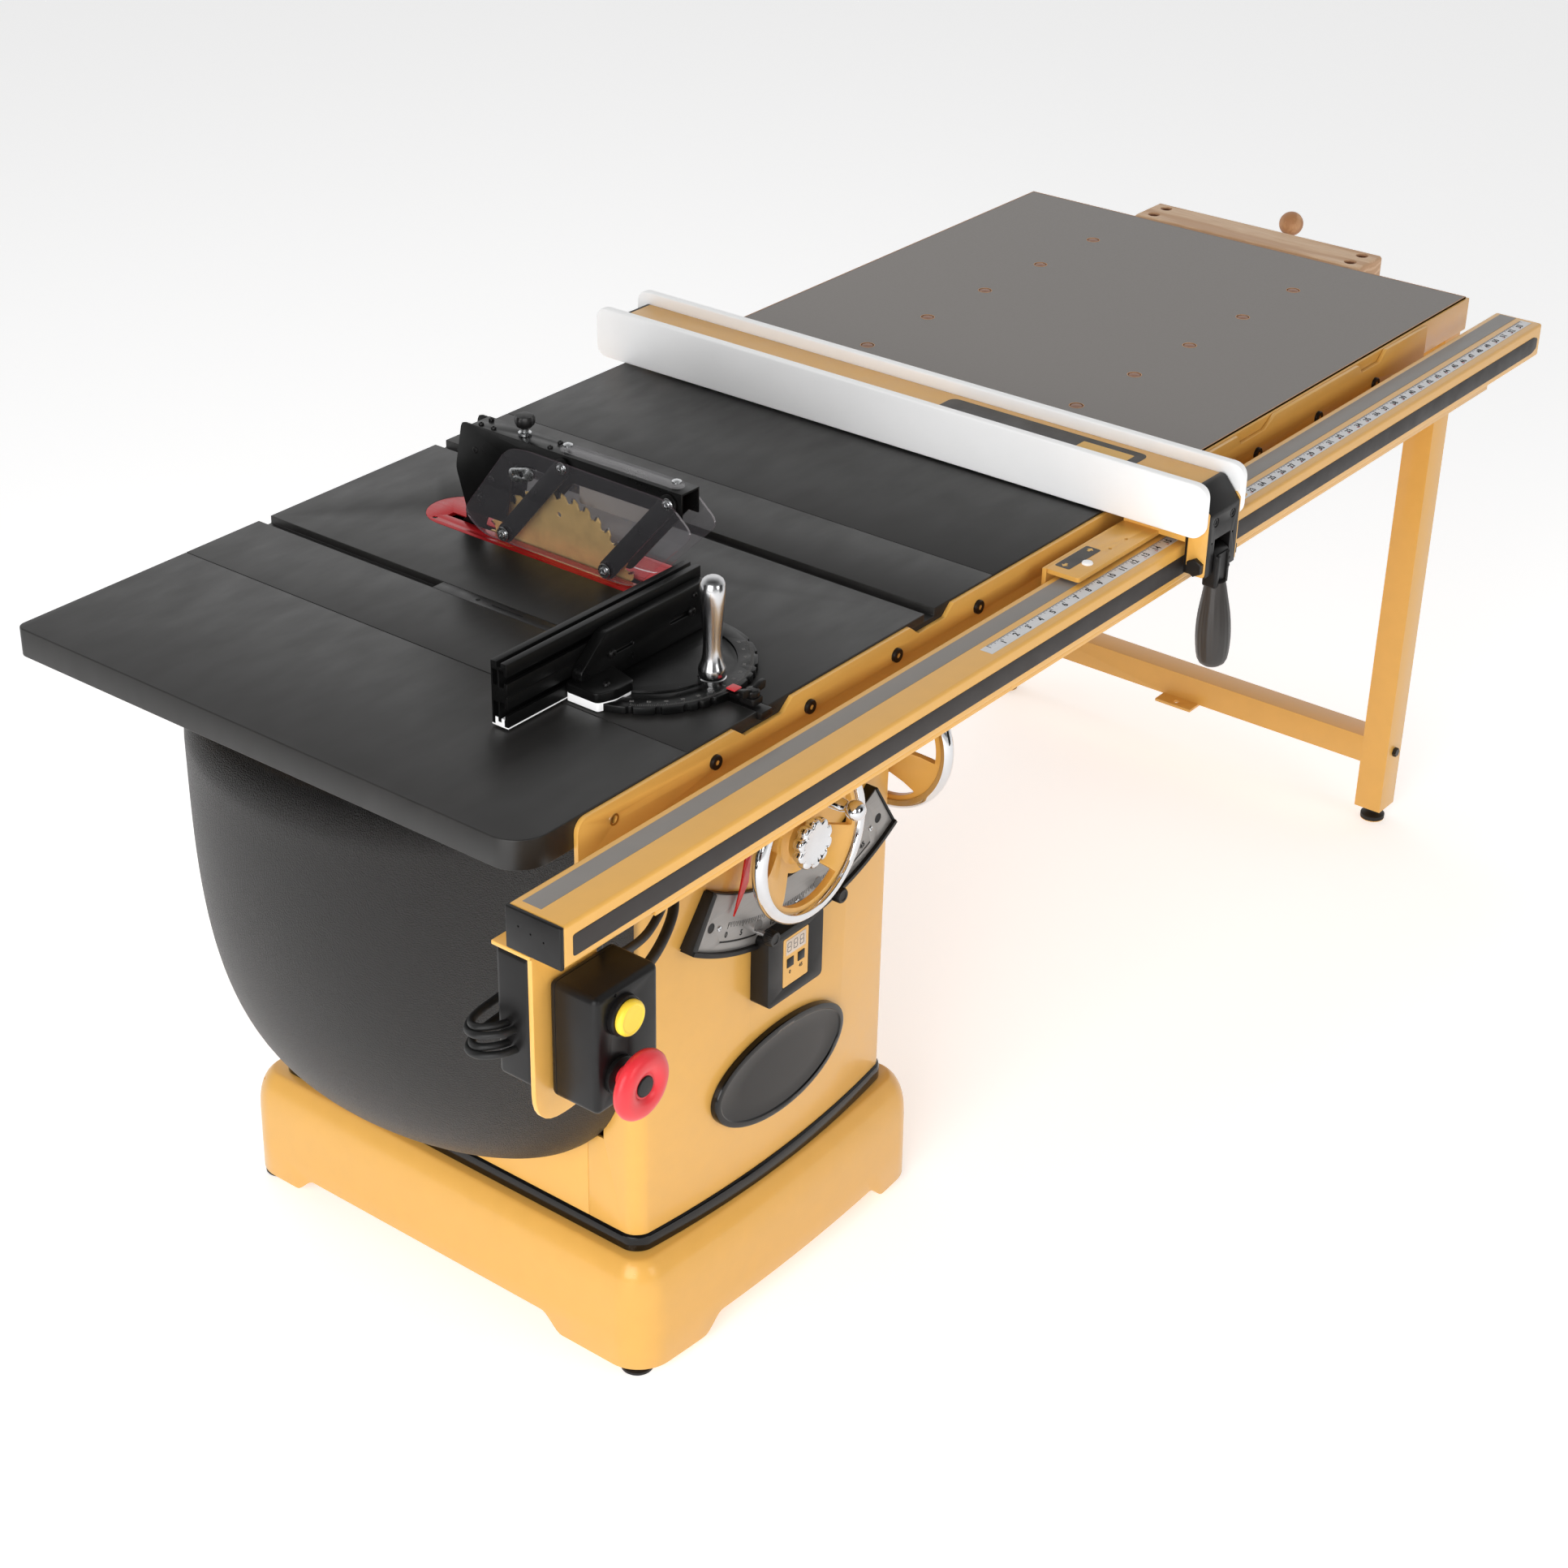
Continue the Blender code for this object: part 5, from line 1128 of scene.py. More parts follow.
# end, (y, z) of the top pivot, (y, z) of the low pivot
LINKS = (("rear", (0.403, 1.002), (0.496, 0.8925)), ("front", (0.242, 1.002), (0.335, 0.8925)))
SHIELD = rounded([(0.53, 0.883), (0.562, 0.905), (0.486, 1.006), (0.455, 1.0105),
                  (0.24, 1.0075), (0.201, 0.975), (0.29, 0.885), (0.32, 0.882)], 0.016, 10)
for side, sign in (("left", -1), ("right", 1)):
    outward = (sign, 0, 0)
    link_x = GUARD_X + sign * 0.020              # outer face of the links
    for end, top, low in LINKS:
        link, body = f"link_{side}_{end}", f"{side}_link_{end}"
        link_span = sorted((GUARD_X + sign * 0.017, link_x))
        put(link, prism(stadium(top, low, 0.0118), "x", *link_span), "black_paint", body,
            bevel=0.0005, replaces=link)
        put(link + "_low_screw",
            [lathe([(0, 0), (0.0088, 0), (0.0092, 0.0005), (0.0088, 0.0012), (0, 0.0012)],
                   (link_x + sign * 0.0043, *low), outward, 40),
             screw_head((link_x + sign * 0.0054, *low), outward, 0.0052, 0.003, "cross"),
             pin((link_x, *low), (link_x + sign * 0.005, *low), 0.0036)], "zinc_screw", body)
        put(link + "_top_screw",
            [lathe([(0, 0), (0.0072, 0), (0.0075, 0.0004), (0.0072, 0.001), (0, 0.001)],
                   (link_x + sign * 0.0004, *top), outward, 40),
             screw_head((link_x + sign * 0.0012, *top), outward, 0.0052, 0.003, "cross")],
            "zinc_screw", body)
    x0, x1 = sorted((GUARD_X + sign * 0.021, GUARD_X + sign * 0.024))
    shield = merge(prism(SHIELD, "x", x0, x1),
                   cut=[rod("x", low, x0 - 0.002, x1 + 0.002, 0.0042, 24)
                        for end, top, low in LINKS])
    put(f"shield_{side}", shield, ["clear_polycarbonate", "clear_rim"], f"{side}_shield",
        replaces=f"shield_{side}", pick=lambda normal: 0 if abs(normal.x) > 0.5 else 1)
put("shield_label", prism(rounded_box(0.3, 0.412, 0.942, 0.99, 0.003, 4),
                          "x", -0.1363, -0.136), "grey_strip", "right_shield")
put("shield_label_band", prism([(0.304, 0.974), (0.408, 0.974), (0.408, 0.987),
                                (0.304, 0.987)], "x", -0.1366, -0.1363),
    "print_orange", "right_shield")
latch = merge(prism(stadium((0.452, 0.982), (0.474, 0.976), 0.0085, 12),
                    "x", -0.1822, -0.1812),
              cut=(rod("x", (0.463, 0.979), -0.19, -0.17, 0.0038, 24),
                   rod("x", (0.4745, 0.976), -0.19, -0.17, 0.0018, 16)))
put("shield_latch", latch, "zinc_screw", "left_shield", bevel=0.0002)

# ================================================================ hand wheels
WHEEL_RADIUS = 0.099
WHEELS = (("raise", RAISE_WHEEL, Vector(FRONT)), ("tilt", TILT_WHEEL, Vector(RIGHT)))
# distance in from the wheel radius, height along the axis
RIM_PROFILE = ((0.014, -0.006), (0.012, -0.0088), (0.006, -0.0098), (0.002, -0.0074),
               (0.0004, -0.004), (0, 0), (0.0012, 0.004), (0.0045, 0.0074),
               (0.0085, 0.0085), (0.0125, 0.007), (0.0145, 0.003))
WEB_EDGE = WHEEL_RADIUS - 0.01
WEB_PROFILE = [(0, -0.03), (0.0265, -0.03), (0.042, -0.0235), (0.062, -0.0135),
               (0.078, -0.0086), (WEB_EDGE, -0.0064), (WEB_EDGE, 0.002), (0.08, 0.0006),
               (0.07, -0.002), (0.056, -0.0078), (0.042, -0.014), (0.033, -0.0168),
               (0.0285, -0.015), (0.0255, -0.0112), (0, -0.0094)]
LOCK_PROFILE = [(0, -0.0086), (0.015, -0.0086), (0.016, -0.0062), (0.024, -0.005),
                (0.0296, -0.003), (0.0314, 0.0005), (0.0314, 0.0062), (0.0304, 0.0086),
                (0.028, 0.01), (0.0252, 0.0102), (0.0236, 0.0094), (0.012, 0.0082),
                (0, 0.0078)]
HANDLE_PROFILE = [(0, 0.0014), (0.008, 0.0014), (0.0086, 0.002), (0.0086, 0.005),
                  (0.0074, 0.0075), (0.0061, 0.011), (0.006, 0.016), (0.0064, 0.022),
                  (0.0073, 0.031), (0.0082, 0.04), (0.0083, 0.048), (0.0076, 0.055),
                  (0.0066, 0.06), (0.007, 0.062), (0.009, 0.064), (0.0108, 0.067),
                  (0.0117, 0.071), (0.0115, 0.0752), (0.01, 0.079), (0.0075, 0.0815),
                  (0.004, 0.0828), (0, 0.083)]


def handle_root(at, axis):
    return at + Vector(UP) * 0.0743 + axis.cross(Vector(UP)) * 0.0146


def kidney(middle):
    """Rounded window outline round the hub, middle in radians."""
    half = math.radians(39)
    polar = [(0.0795, middle - half + 2 * half * k / 24) for k in range(25)]
    polar += [(0.0425, middle + half * (1 - 2 * k / 24) * 0.80) for k in range(25)]
    return rounded([(r * math.cos(t), r * math.sin(t)) for r, t in polar], 0.01, 2)


def hand_wheel(which, at, axis):
    """Chromed rim, dished gold web with three kidney windows, boss for the handle."""
    name, up = f"{which}_wheel", Vector(UP)
    side = axis.cross(up)
    rim = lathe([(WHEEL_RADIUS - inset, h) for inset, h in RIM_PROFILE], at, axis, 128)
    put(name + "_rim", rim, "chrome_plate", name, replaces=f"{which}_handwheel")
    web = lathe(WEB_PROFILE, at, axis, 96)
    cuts = []
    for k in range(3):
        flat = kidney(math.radians(-90 + 120 * k))
        cuts.append(loft([[at + side * p[0] + up * p[1] + axis * along for p in flat]
                          for along in (-0.04, 0.03)]))
    merge(web, cut=cuts)
    put(name + "_web", web, "gold_paint", name, bevel=0.0012, segments=3)
    root = handle_root(at, axis)
    put(name + "_boss", [pin(root - axis * 0.009, root + axis * 0.001, 0.0128, 0.001)],
        "gold_paint", name)


def ten_scallops(t, r, h):
    if r <= 0.0238:
        return r
    fade = min(1.0, (r - 0.0238) / 0.004)
    return r - 0.004 * (0.5 + 0.5 * math.cos(10 * t)) ** 2.2 * fade


for which, at, axis in WHEELS:
    hand_wheel(which, at, axis)
wx, wy, wz = RAISE_WHEEL
tx, ty, tz = TILT_WHEEL
put("raise_shaft", pin((wx, wy + 0.01, wz), (wx, 0.1925, wz), 0.008),
    "machined_steel", "raise_wheel")
put("tilt_shaft", pin((tx - 0.01, ty, tz), (-0.06, ty, tz), 0.008),
    "machined_steel", "tilt_wheel")
for which, at, axis in WHEELS:
    put(f"{which}_lock_knob", lathe(LOCK_PROFILE, at, axis, 192, ten_scallops),
        "chrome_plate", f"{which}_lock", replaces=f"{which}_lock_knob")
for which, at, axis in WHEELS:
    put(f"{which}_handle", lathe(HANDLE_PROFILE, handle_root(at, axis), axis, 64),
        "chrome_plate", f"{which}_grip", replaces=f"{which}_handle")
needle = prism([(-0.2362, 0.69), (-0.2362, 0.668), (-0.2598, 0.65), (-0.2642, 0.6164),
                (-0.2896, 0.5822), (-0.29, 0.5824), (-0.279, 0.6126), (-0.2702, 0.649),
                (-0.256, 0.676)], "y", 0.049, 0.0512)
put("tilt_pointer", needle, "red_pointer", "cradle", bevel=0.0006, replaces="tilt_pointer")
put("pointer_collar", merge(rod("y", (wx, wz), 0.046, 0.199, 0.0125, 48),
                            cut=[rod("y", (wx, wz), 0.03, 0.23, 0.0085, 48)]),
    "black_oxide", "cradle", bevel=0.0006)

# ================================================================ switch
START, STOP = (-0.697, 0.738), (-0.703, 0.669)      # x, z of the buttons
START_COLLAR = [(0.0153, 0), (0.0222, 0), (0.0226, 0.0012), (0.0222, 0.0062),
                (0.0208, 0.0074), (0.0153, 0.0074)]
STOP_COLLAR = [(0.012, 0), (0.0205, 0), (0.021, 0.001), (0.021, 0.005), (0.019, 0.0062),
               (0.012, 0.0062)]
BUTTON_PROFILE = [(0, 0), (0.0145, 0), (0.0145, 0.0205), (0.0185, 0.0215),
                  (0.0195, 0.023), (0.0195, 0.0272), (0.0185, 0.0292), (0.0165, 0.0302),
                  (0.015, 0.03), (0.0145, 0.0296), (0, 0.0296)]
PADDLE_PROFILE = [(0, 0), (0.011, 0), (0.011, 0.037), (0.014, 0.04), (0.024, 0.0435),
                  (0.034, 0.047), (0.0375, 0.0495), (0.039, 0.0535), (0.0385, 0.057),
                  (0.0365, 0.0598), (0.032, 0.0628), (0.026, 0.064), (0.02, 0.0632),
                  (0.0165, 0.0615), (0.014, 0.059), (0, 0.0588)]
refine("switch_bracket", "gold_paint", 0.001, 3)
switch = box(-0.735, -0.6395, -0.133, -0.0693, 0.6316, 0.771, bevel=0.0075, segments=6)
back = box(-0.753, -0.6395, -0.0627, -0.015, 0.645, 0.799, bevel=0.007, segments=5)
merge(switch, add=(back, box(-0.7145, -0.6855, -0.072, -0.06, 0.6805, 0.7295)),
      cut=(rod("y", STOP, -0.15, -0.094, 0.0115, 40),
           rod("y", START, -0.15, -0.11, 0.015, 40),
           rod("y", (-0.706, 0.764), -0.1345, -0.131, 0.0019, 16),
           box(-0.76, -0.63, -0.0785, -0.078, 0.62, 0.79)))
put("switch_box", switch, "black_moulded", bevel=0.0004, replaces="switch_box")
put("start_collar", [lathe(profile, on_axis("y", at, -0.1328), FRONT)
                     for profile, at in ((START_COLLAR, START), (STOP_COLLAR, STOP))],
    "black_moulded")
put("start_button", lathe(BUTTON_PROFILE, on_axis("y", START, -0.1185), FRONT),
    "yellow_plastic", "start", replaces="start_button")
STOP_Y = -0.1085
put("stop_paddle", lathe(PADDLE_PROFILE, on_axis("y", STOP, STOP_Y), FRONT, 96),
    "red_plastic", "stop", replaces="stop_paddle")
put("stop_centre", lathe([(0, 0), (0.0118, 0), (0.0118, 0.0012), (0.0108, 0.0022), (0, 0.003)],
                         on_axis("y", STOP, STOP_Y - 0.0587), FRONT), "black_moulded", "stop")

# x, y, z stations; each loop is laid twice, the second lower
CABLE_LOOPS = (
    ((-0.752, -0.03, 0.712), (-0.768, -0.026, 0.714), (-0.778, -0.012, 0.712),
     (-0.77, 0.004, 0.708), (-0.745, 0.014, 0.704), (-0.7, 0.02, 0.7)),
    ((-0.752, -0.04, 0.708), (-0.772, -0.034, 0.709), (-0.783, -0.014, 0.706),
     (-0.772, 0.008, 0.7), (-0.745, 0.02, 0.698), (-0.7, 0.028, 0.694)))
loops = [tube([(x, y, z - drop) for x, y, z in path], 0.0042, 14)
         for path in CABLE_LOOPS for drop in (0, 0.024)]
cables = [tube([(-0.6393, -0.038, 0.712), (-0.6, -0.036, 0.69), (-0.54, -0.02, 0.66),
                (-0.47, 0.01, 0.646), (-0.415, 0.036, 0.655), (-0.3935, 0.058, 0.672),
                (-0.392, 0.0765, 0.69)], 0.0062, 20),
          tube([(-0.6393, -0.03, 0.735), (-0.6, -0.028, 0.712), (-0.545, -0.012, 0.69),
                (-0.48, 0.014, 0.672), (-0.428, 0.036, 0.682), (-0.4, 0.062, 0.712),
                (-0.398, 0.078, 0.738)], 0.005, 18)]
put("power_cable", cables, "black_rubber", replaces="power_cable")
put("switch_cables", loops, "black_rubber")
GLAND_PROFILE = [(0.006, 0), (0.0115, 0), (0.012, 0.001), (0.012, 0.007), (0.0095, 0.01),
                 (0.0062, 0.01)]
put("cable_glands", [lathe(GLAND_PROFILE, at, (1, 0, -0.4), 6)
                     for at in ((-0.6397, -0.038, 0.713), (-0.6397, -0.03, 0.7355))],
    "black_moulded")

# ================================================================ rip fence
TUBE_X, TUBE_Z = (0.3778, 0.4524), (0.881, 0.932)
for side, x0, x1 in (("left", 0.365, 0.3775), ("right", 0.4527, 0.465)):
    node = f"fence_face_{side}"
    put(node, prism(rounded_box(-0.145, 0.824, 0.878, 0.948, 0.02, 14), "x", x0, x1),
        "white_polymer", "fence", bevel=0.0022, segments=4, replaces=node)
fence_tube = box(*TUBE_X, -0.1145, 0.8, *TUBE_Z, bevel=0.0016)
merge(fence_tube, cut=[box(0.3815, 0.4487, -0.1, 0.82, 0.8845, 0.9285)])
tee = prism(rounded_box(0.201, 0.575, -0.0765, -0.03, 0.005, 5), "z", 0.8622, 0.868)
# y, z
SIDE_PLATE = [(-0.108, 0.877), (-0.108, 0.914), (-0.14, 0.914), (-0.1455, 0.908),
              (-0.1455, 0.829), (-0.1446, 0.8256), (-0.142, 0.824), (-0.1335, 0.824),
              (-0.1262, 0.8262), (-0.1212, 0.8304), (-0.119, 0.837), (-0.119, 0.877)]
merge(tee, cut=[rod("z", (x, -0.059), 0.85, 0.88, 0.0022, 24) for x in (0.2975, 0.334)])
put("fence_tube", fence_tube, "gold_paint", "fence", replaces="fence_body")
put("fence_tee", [tee], "gold_paint", "fence", bevel=0.0009, segments=3)
put("fence_block", [box(0.38, 0.45, -0.114, -0.026, 0.864, 0.883),
                    box(0.386, 0.444, -0.1144, -0.1119, 0.83, 0.9)], "gold_paint", "fence")
put("fence_lip", [box(0.2012, 0.5748, -0.0306, -0.0245, 0.821, 0.8672)],
    "gold_paint", "fence", bevel=0.0008)
put("fence_side_plates", [prism(SIDE_PLATE, "x", x0, x1)
                          for x0, x1 in ((0.378, 0.3799), (0.4503, 0.4522))],
    "gold_paint", "fence", bevel=0.0006)
put("fence_label", prism(rounded_box(0.379, 0.4392, -0.0205, 0.276, 0.012),
                         "z", 0.9318, 0.9324), "dark_label", "fence")
put("fence_label_small", prism(rounded_box(0.406, 0.4262, -0.007, 0.067, 0.002, 4),
                               "z", 0.9323, 0.9326), "print_gold", "fence")
put("fence_end_cap", box(*TUBE_X, 0.799, 0.804, *TUBE_Z, bevel=0.0012),
    "black_moulded", "fence")

RECESSES = ((0.396, 0.893), (0.4352, 0.893))        # x, z of the large round ones
head = prism([(-0.1148, 0.8238), (-0.1455, 0.8238), (-0.1455, 0.904), (-0.1448, 0.9062),
              (-0.1245, 0.9306), (-0.1222, 0.9326), (-0.1195, 0.9335), (-0.1148, 0.9335)],
             "x", 0.3802, 0.45)
merge(head, cut=[box(0.3965, 0.4335, -0.2, -0.1, 0.8, 0.87)]
      + [rod("y", p, -0.1465, -0.1443, 0.0062, 40) for p in RECESSES]
      + [rod("y", (x, 0.8668), -0.1465, -0.143, 0.0015, 20) for x in (0.3905, 0.4392)])
put("fence_head", head, "black_moulded", "fence", bevel=0.001, segments=3,
    replaces="fence_head")
put("fence_head_rings", [lathe([(0.003, 0), (0.0044, 0), (0.0044, 0.0008), (0.003, 0.0008)],
                               on_axis("y", p, -0.1443), FRONT, 40) for p in RECESSES],
    "black_paint", "fence")
put("fence_bolts", [hex_bolt((x, -0.1332, 0.8372), axis, 0.0205, 0.0066)
                    for x, axis in ((0.3779, LEFT), (0.4523, RIGHT))], "black_oxide", "fence")

lever = box(0.3993, 0.4307, -0.1512, -0.131, 0.8035, 0.848, bevel=0.003, segments=4)
merge(lever, add=[rod("x", (-0.133, 0.837), 0.3995, 0.4305, 0.0177, 64)],
      cut=[box(0.406, 0.424, -0.156, -0.149, 0.8, 0.86)])
put("lever_block", lever, "black_moulded", "fence_handle", bevel=0.0005)
put("lever_pins", [pin((0.4276, -0.1508, z), (0.4276, -0.1516, z), 0.0022)
                   for z in (0.827, 0.837)], "black_paint", "fence_handle")


def grip_flutes(t, r, h):
    return r - (0.0005 * (0.5 + 0.5 * math.cos(18 * t)) if 0.02 < h < 0.104 else 0)


grip = lathe([(0, 0), (0.0126, 0), (0.0131, 0.003), (0.0141, 0.008), (0.0158, 0.018),
              (0.018, 0.03), (0.02, 0.042), (0.0214, 0.054), (0.0221, 0.066),
              (0.0222, 0.074), (0.0216, 0.086), (0.0206, 0.096), (0.019, 0.104),
              (0.016, 0.11), (0.011, 0.1136), (0, 0.1145)],
             (0.415, -0.142, 0.8085), (0, -0.0559, -0.9984), 96, grip_flutes)
put("fence_lever", grip, "dark_label", "fence_handle", replaces="fence_lever")

# ---------------------------------------------------------------- details on the tee plate
put("tee_sticker", prism(rounded_box(0.215, 0.286, -0.0535, -0.0328, 0.003, 5),
                         "z", 0.8679, 0.8683), "dark_label", "fence")
# x along the arrow from its centre, y
ARROW = ((0.005, -0.0425), (0, -0.038), (0, -0.0408), (-0.0045, -0.0408),
         (-0.0045, -0.0442), (0, -0.0442), (0, -0.047))
put("tee_arrows", [prism([(x + sign * dx, y) for dx, y in ARROW], "z", 0.8682, 0.8685)
                   for x, sign in ((0.223, -1), (0.278, 1))], "print_gold", "fence")
put("tee_plug", lathe([(0, 0), (0.0068, 0), (0.007, 0.0008), (0.0062, 0.0024),
                       (0.003, 0.0034), (0, 0.0036)], (0.2435, -0.061, 0.868), UP, 40),
    "white_polymer", "fence")
ear = merge(prism(rounded_box(0.49, 0.545, -0.106, -0.07, 0.004, 5), "z", 0.8682, 0.87),
            cut=[box(0.5, 0.535, -0.103, -0.083, 0.86, 0.88)])
put("cursor_ear", ear, "gold_paint", "fence", bevel=0.0003)
put("cursor_window", box(0.5002, 0.5348, -0.1028, -0.0832, 0.8688, 0.8697),
    "clear_polycarbonate", "fence")
put("cursor_line", bars([((0.5175, -0.093, 0.8687), RIGHT, REAR, 0.0002, 0.0098, 0.0001)]),
    "print_red", "fence")
put("cursor_screws", [screw_head((x, -0.076, 0.87), UP, 0.0034, 0.0022, "cross")
                      for x in (0.498, 0.537)], "zinc_screw", "fence")

# ================================================================ mitre gauge
PIVOT = PIVOT_X, PIVOT_Y = (-0.3072, 0.160)
HEAD_RADIUS = 0.121
HANDLE_Y = 0.07
NOTCHES = (30, 45, 60, 67.5, 75, 90, 105, 112.5, 120, 135, 150)    # degrees, 90 is the front
refine("miter_bar", "black_oxide", 0.0004)
# Dark disc and groove on the mitre bar: painted shade in a hole and a slot.
put("bar_hole_shade", [lathe([(0, 0), (0.0028, 0), (0.0028, 0.0002), (0, 0.0002)],
                          (PIVOT_X, 0.42, 0.87565), UP, 24),
                    box(PIVOT_X - 0.0008, PIVOT_X + 0.0008, 0.35, 0.398, 0.8755, 0.8759)],
    "dark_recess", "miter")
outline = []
for degrees in range(181):
    notched = min(abs(degrees - stop) for stop in NOTCHES) < 1.1
    outline.append(around(PIVOT, HEAD_RADIUS - (0.003 if notched else 0), 180 + degrees))
mitre_disc = prism(outline + [(PIVOT_X + HEAD_RADIUS, 0.174), (PIVOT_X - HEAD_RADIUS, 0.174)],
                   "z", 0.877, 0.886)
groove = ([around(PIVOT, 0.098, 198 + 144 * k / 32) for k in range(33)]
          + [around(PIVOT, 0.082, 342 - 144 * k / 32) for k in range(33)])
merge(mitre_disc, cut=[prism(groove, "z", 0.8835, 0.89)])
boss = pin((PIVOT_X, HANDLE_Y, 0.88), (PIVOT_X, HANDLE_Y, 0.893), 0.016, 0.001, 48)
put("mitre_disc", mitre_disc, "black_paint", "miter_top", bevel=0.0006, replaces="miter_head")
put("mitre_boss", boss, "chrome_plate", "miter_top")
ticks, numbers = [], []
for degrees in range(-60, 61):
    t = math.radians(270 + degrees)
    out = Vector((math.cos(t), math.sin(t), 0))
    along = Vector((-out.y, out.x, 0))
    length = 0.003 if degrees % 5 == 0 else 0.0018
    centre = Vector((*PIVOT, 0.88612)) + out * (HEAD_RADIUS - 0.0045 - length)
    ticks.append((centre, along, out, 0.00016, length, 0.0001))
    if degrees % 10 == 0:
        centre = Vector((*PIVOT, 0.88614)) + out * (HEAD_RADIUS - 0.0142)
        numbers.append((str(abs(degrees)), 0.005, centre, along, -out))
put("mitre_ticks", bars(ticks), "print_grey", "miter_top")
letters("mitre_numbers", numbers, "print_grey", "miter_top")
upright = prism(rounded([(-0.42, 0.886), (-0.204, 0.886), (-0.204, 0.944), (-0.38, 0.944),
                         (-0.42, 0.91)], 0.004, 4), "y", 0.16, 0.174)
merge(upright, cut=[prism(stadium((x, 0.915), (x + 0.036, 0.915), 0.0032, 10),
                          "y", 0.158, 0.164) for x in (-0.372, -0.268)])
put("mitre_upright", upright, "black_paint", "miter_top", bevel=0.001, segments=3)
foot = rounded([(-0.432, 0.128), (-0.41, 0.119), (-0.38, 0.119), (-0.365, 0.174),
                (-0.432, 0.174)], 0.006, 6)
put("mitre_foot", prism(foot, "z", 0.888, 0.9), "black_paint", "miter_top", bevel=0.0014,
    segments=3)
block = rounded([(-0.43, 0.129), (-0.409, 0.121), (-0.382, 0.121), (-0.382, 0.1735),
                 (-0.43, 0.1735)], 0.003, 4)
put("mitre_white_block", prism(block, "z", 0.8774, 0.8878), "white_polymer", "miter_top",
    bevel=0.0003)
put("mitre_screws", [screw_head((-0.408, 0.135, 0.9), UP, 0.0042, 0.0028),
                     screw_head((-0.37, 0.16, 0.915), FRONT, 0.005, 0.0034, "cross"),
                     screw_head((-0.234, 0.16, 0.915), FRONT, 0.005, 0.0034, "cross"),
                     screw_head((-0.228, 0.16, 0.933), FRONT, 0.0036, 0.0022)],
    "black_oxide", "miter_top")
CUT_X = (-0.53, -0.19)              # cutters run past both ends of the bar
mitre_fence = prism([(0.1745, 0.88), (0.1975, 0.88), (0.1975, 0.955), (0.1745, 0.955)],
                    "x", -0.522, -0.2)
cuts = []
for z in (0.888, 0.926):
    cuts += [box(*CUT_X, 0.165, 0.18, z + 0.006, z + 0.014),
             box(*CUT_X, 0.179, 0.186, z, z + 0.02),
             box(*CUT_X, 0.1885, 0.1955, z + 0.001, z + 0.019)]
cuts += [box(*CUT_X, 0.183, 0.189, 0.949, 0.96), box(*CUT_X, 0.1735, 0.1755, 0.916, 0.918)]
merge(mitre_fence, cut=cuts)
put("mitre_fence", mitre_fence, "black_anodised", "miter_top", bevel=0.0004,
    replaces="miter_fence")
put("mitre_wear_strip", box(-0.5222, -0.1998, 0.1742, 0.1978, 0.8785, 0.8801, bevel=0.0003),
    "white_polymer", "miter_top")
put("mitre_end_insert", merge(box(-0.5224, -0.517, 0.1795, 0.1925, 0.88, 0.889),
                              cut=[box(-0.524, -0.516, 0.1835, 0.1885, 0.884, 0.89)]),
    "white_polymer", "miter_top")
handle = [(0, 0), (0.012, 0), (0.015, 0.001), (0.0156, 0.003), (0.0156, 0.009),
          (0.0148, 0.012), (0.0122, 0.018), (0.0108, 0.026), (0.0102, 0.036),
          (0.0104, 0.048), (0.0112, 0.06), (0.0124, 0.074), (0.0138, 0.088),
          (0.0147, 0.098), (0.0147, 0.105), (0.0138, 0.111), (0.0112, 0.116),
          (0.007, 0.1184), (0, 0.119)]
put("mitre_handle", lathe(handle, (PIVOT_X, HANDLE_Y, 0.8933), UP, 72),
    "polished_alloy", "miter_grip", replaces="miter_handle")

# ---------------------------------------------------------------- stop pointer and wing knob
put("mitre_stop_arm", prism([(PIVOT_X - 0.0085, 0.043), (PIVOT_X + 0.0085, 0.043),
                             (PIVOT_X + 0.007, 0.023), (PIVOT_X - 0.007, 0.023)],
                            "z", 0.879, 0.885), "black_paint", "miter_top", bevel=0.0005)
put("mitre_red_pointer", [prism(rounded([(PIVOT_X - 0.0065, 0.046), (PIVOT_X + 0.0065, 0.046),
                                         (PIVOT_X + 0.0065, 0.033),
                                         (PIVOT_X - 0.0065, 0.033)], 0.002, 4),
                                "z", 0.8872, 0.8885)],
    "red_plastic", "miter_top", bevel=0.0003)
KNOB_Y = 0.014
# x from the middle, z
KNOB_WING = ((0.002, 0.889), (0.0195, 0.89), (0.0205, 0.9), (0.012, 0.8995), (0.002, 0.895))
knob = [lathe([(0, 0), (0.008, 0), (0.0084, 0.001), (0.0084, 0.006), (0.007, 0.008),
               (0, 0.0082)], (PIVOT_X, KNOB_Y, 0.8872), UP, 40)]
knob += [prism(rounded([(PIVOT_X + sign * dx, z) for dx, z in KNOB_WING], 0.0028, 5),
               "y", KNOB_Y - 0.0028, KNOB_Y + 0.0028) for sign in (-1, 1)]
knob.append(prism(rounded_box(PIVOT_X - 0.009, PIVOT_X + 0.009, 0.005, 0.026, 0.004, 5),
                  "z", 0.879, 0.887))
put("mitre_wing_knob", knob, "black_moulded", "miter_top", bevel=0.0005)


# ================================================================ stage
def stage_material(name, level, glow=0):
    """Matt grey of a given level, which may also shine white."""
    mat = bpy.data.materials.new(name)
    mat.use_nodes = True
    principled = mat.node_tree.nodes["Principled BSDF"]
    set_inputs(principled, {"Base Color": (level, level, level, 1), "Roughness": 0.9,
                            "Specular IOR Level": 0.1})
    if glow:
        set_inputs(principled, {"Emission Color": (1, 1, 1, 1), "Emission Strength": glow})
    return mat


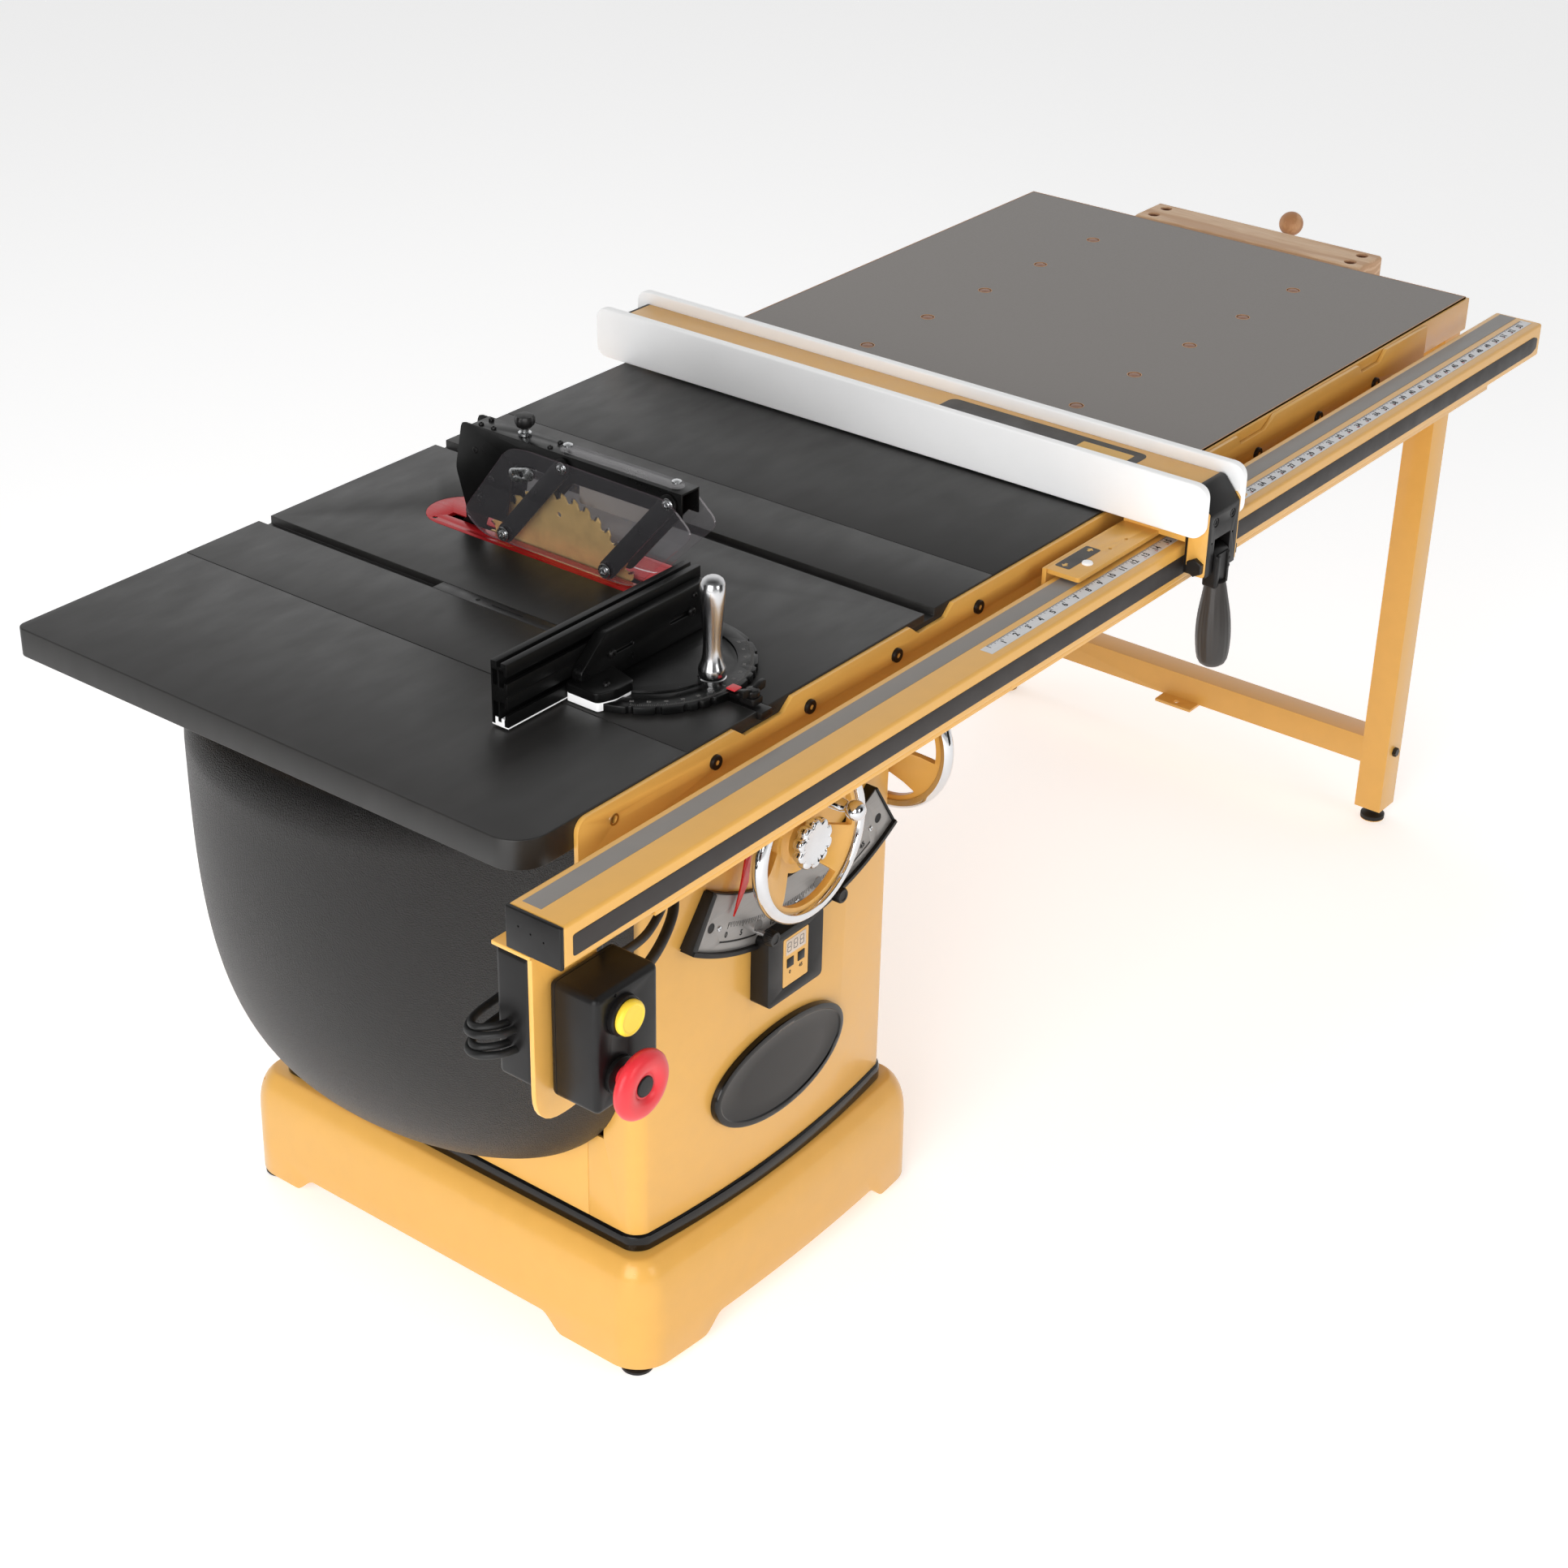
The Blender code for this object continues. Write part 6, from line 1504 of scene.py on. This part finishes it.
def square(name, size):
    cells = 2 if name == "studio_floor" else 1
    bm = bmesh.new()
    bmesh.ops.create_grid(bm, x_segments=cells, y_segments=cells, size=size)
    obj = from_bmesh(bm)
    obj.name = name
    return obj


def aim(obj, at, look, forward):
    obj.location = at
    obj.rotation_mode = "QUATERNION"
    obj.rotation_quaternion = (Vector(look) - Vector(at)).to_track_quat(forward, "Y")


def panel(name, at, look, width, height, level, glow=0):
    """A dark flag or bright card that only shows up in reflections."""
    obj = square(name, 0.5)
    obj.scale = (width, height, 1)
    aim(obj, at, look, "Z")
    obj.data.materials.append(stage_material(name, level, glow))
    obj.visible_camera = obj.visible_diffuse = False
    obj.visible_shadow = obj.visible_transmission = False


floor = square("studio_floor", 30)
floor.data.materials.append(stage_material("studio_floor", level=0.92, glow=0.45))
panel("flag_front", at=(0.6, -3.2, 1.0), look=(0, 0, 0.8), width=2.0, height=2.4, level=0.01)
panel("flag_left", at=(-2.6, 0.9, 0.9), look=(0, 0, 0.8), width=1.2, height=2.0, level=0.01)
panel("card_left", at=(-4.2, -1.3, 1.9), look=(-0.5, 0, 0.5), width=2.6, height=2.4,
      level=2.2, glow=2.2)
panel("card_front", at=(-0.6, -4.4, 1.9), look=(0, 0, 0.6), width=2.2, height=1.6,
      level=1.4, glow=1.4)

# ---------------------------------------------------------------- world
# bright backdrop behind the saw, dimmer room behind the camera; the camera sees white
world = bpy.data.worlds.new("studio")
bpy.context.scene.world = world
world.use_nodes = True
tree = world.node_tree
direction = add_node(tree, "TexCoord").outputs["Generated"]
facing = add_node(tree, "VectorMath", {0: direction, 1: (0.776, 0.630, 0.0)},
                  operation="DOT_PRODUCT")
backdrop = map_range(tree, facing.outputs["Value"], (-0.4, 0.8), (0.20, 0.95),
                     interpolation_type="SMOOTHSTEP")
height = add_node(tree, "SeparateXYZ", {0: direction}).outputs["Z"]
overhead = map_range(tree, height, (0.55, 0.95), (1.0, 0.35))
room = add_node(tree, "Math", {0: backdrop, 1: overhead}, operation="MULTIPLY")
camera_ray = add_node(tree, "LightPath").outputs["Is Camera Ray"]
seen = add_node(tree, "Math", {0: room.outputs[0], 1: camera_ray}, operation="MAXIMUM")
set_inputs(tree.nodes["Background"], {"Color": (1, 1, 1, 1), "Strength": seen.outputs[0]})


# ---------------------------------------------------------------- lights
def area(name, at, look, width, height, power):
    data = bpy.data.lights.new(name, "AREA")
    data.shape = "RECTANGLE"
    data.size, data.size_y = width, height
    data.energy = power
    obj = bpy.data.objects.new(name, data)
    bpy.context.scene.collection.objects.link(obj)
    aim(obj, at, look, "-Z")
    obj.visible_glossy = False


area("left_box", at=(-4.2, -1.3, 1.9), look=(-0.5, 0, 0.5), width=2.6, height=2.4, power=150)
area("front_box", at=(0.3, -4.4, 1.8), look=(0, 0, 0.6), width=2.6, height=1.8, power=46)
area("top_box", at=(0.6, 1.0, 4.4), look=(0, 0, 0.8), width=2.4, height=1.6, power=30)

# ---------------------------------------------------------------- camera
CAMERA_AT = Vector((-2.5096, -1.7110, 2.3547))
yaw, pitch, roll = map(math.radians, (-50.9364, -30.4017, 0.3383))
forward = Vector((-math.sin(yaw) * math.cos(pitch), math.cos(yaw) * math.cos(pitch),
                  math.sin(pitch)))
level_right = forward.cross(Vector(UP)).normalized()
level_up = level_right.cross(forward)
right = level_right * math.cos(roll) + level_up * math.sin(roll)
up = -level_right * math.sin(roll) + level_up * math.cos(roll)
camera = bpy.data.objects.new("camera", bpy.data.cameras.new("camera"))
bpy.context.scene.collection.objects.link(camera)
camera.data.sensor_width = 36
camera.data.lens = 66.998552795
camera.data.shift_x = 0.0493457557
camera.data.shift_y = 0.0315838509
camera.data.clip_start, camera.data.clip_end = 0.05, 100
pose = Matrix((right, up, -forward)).transposed().to_4x4()
pose.translation = CAMERA_AT - FRAME_OFFSET
camera.matrix_world = pose
bpy.context.scene.camera = camera
bpy.context.scene.view_settings.view_transform = "Standard"
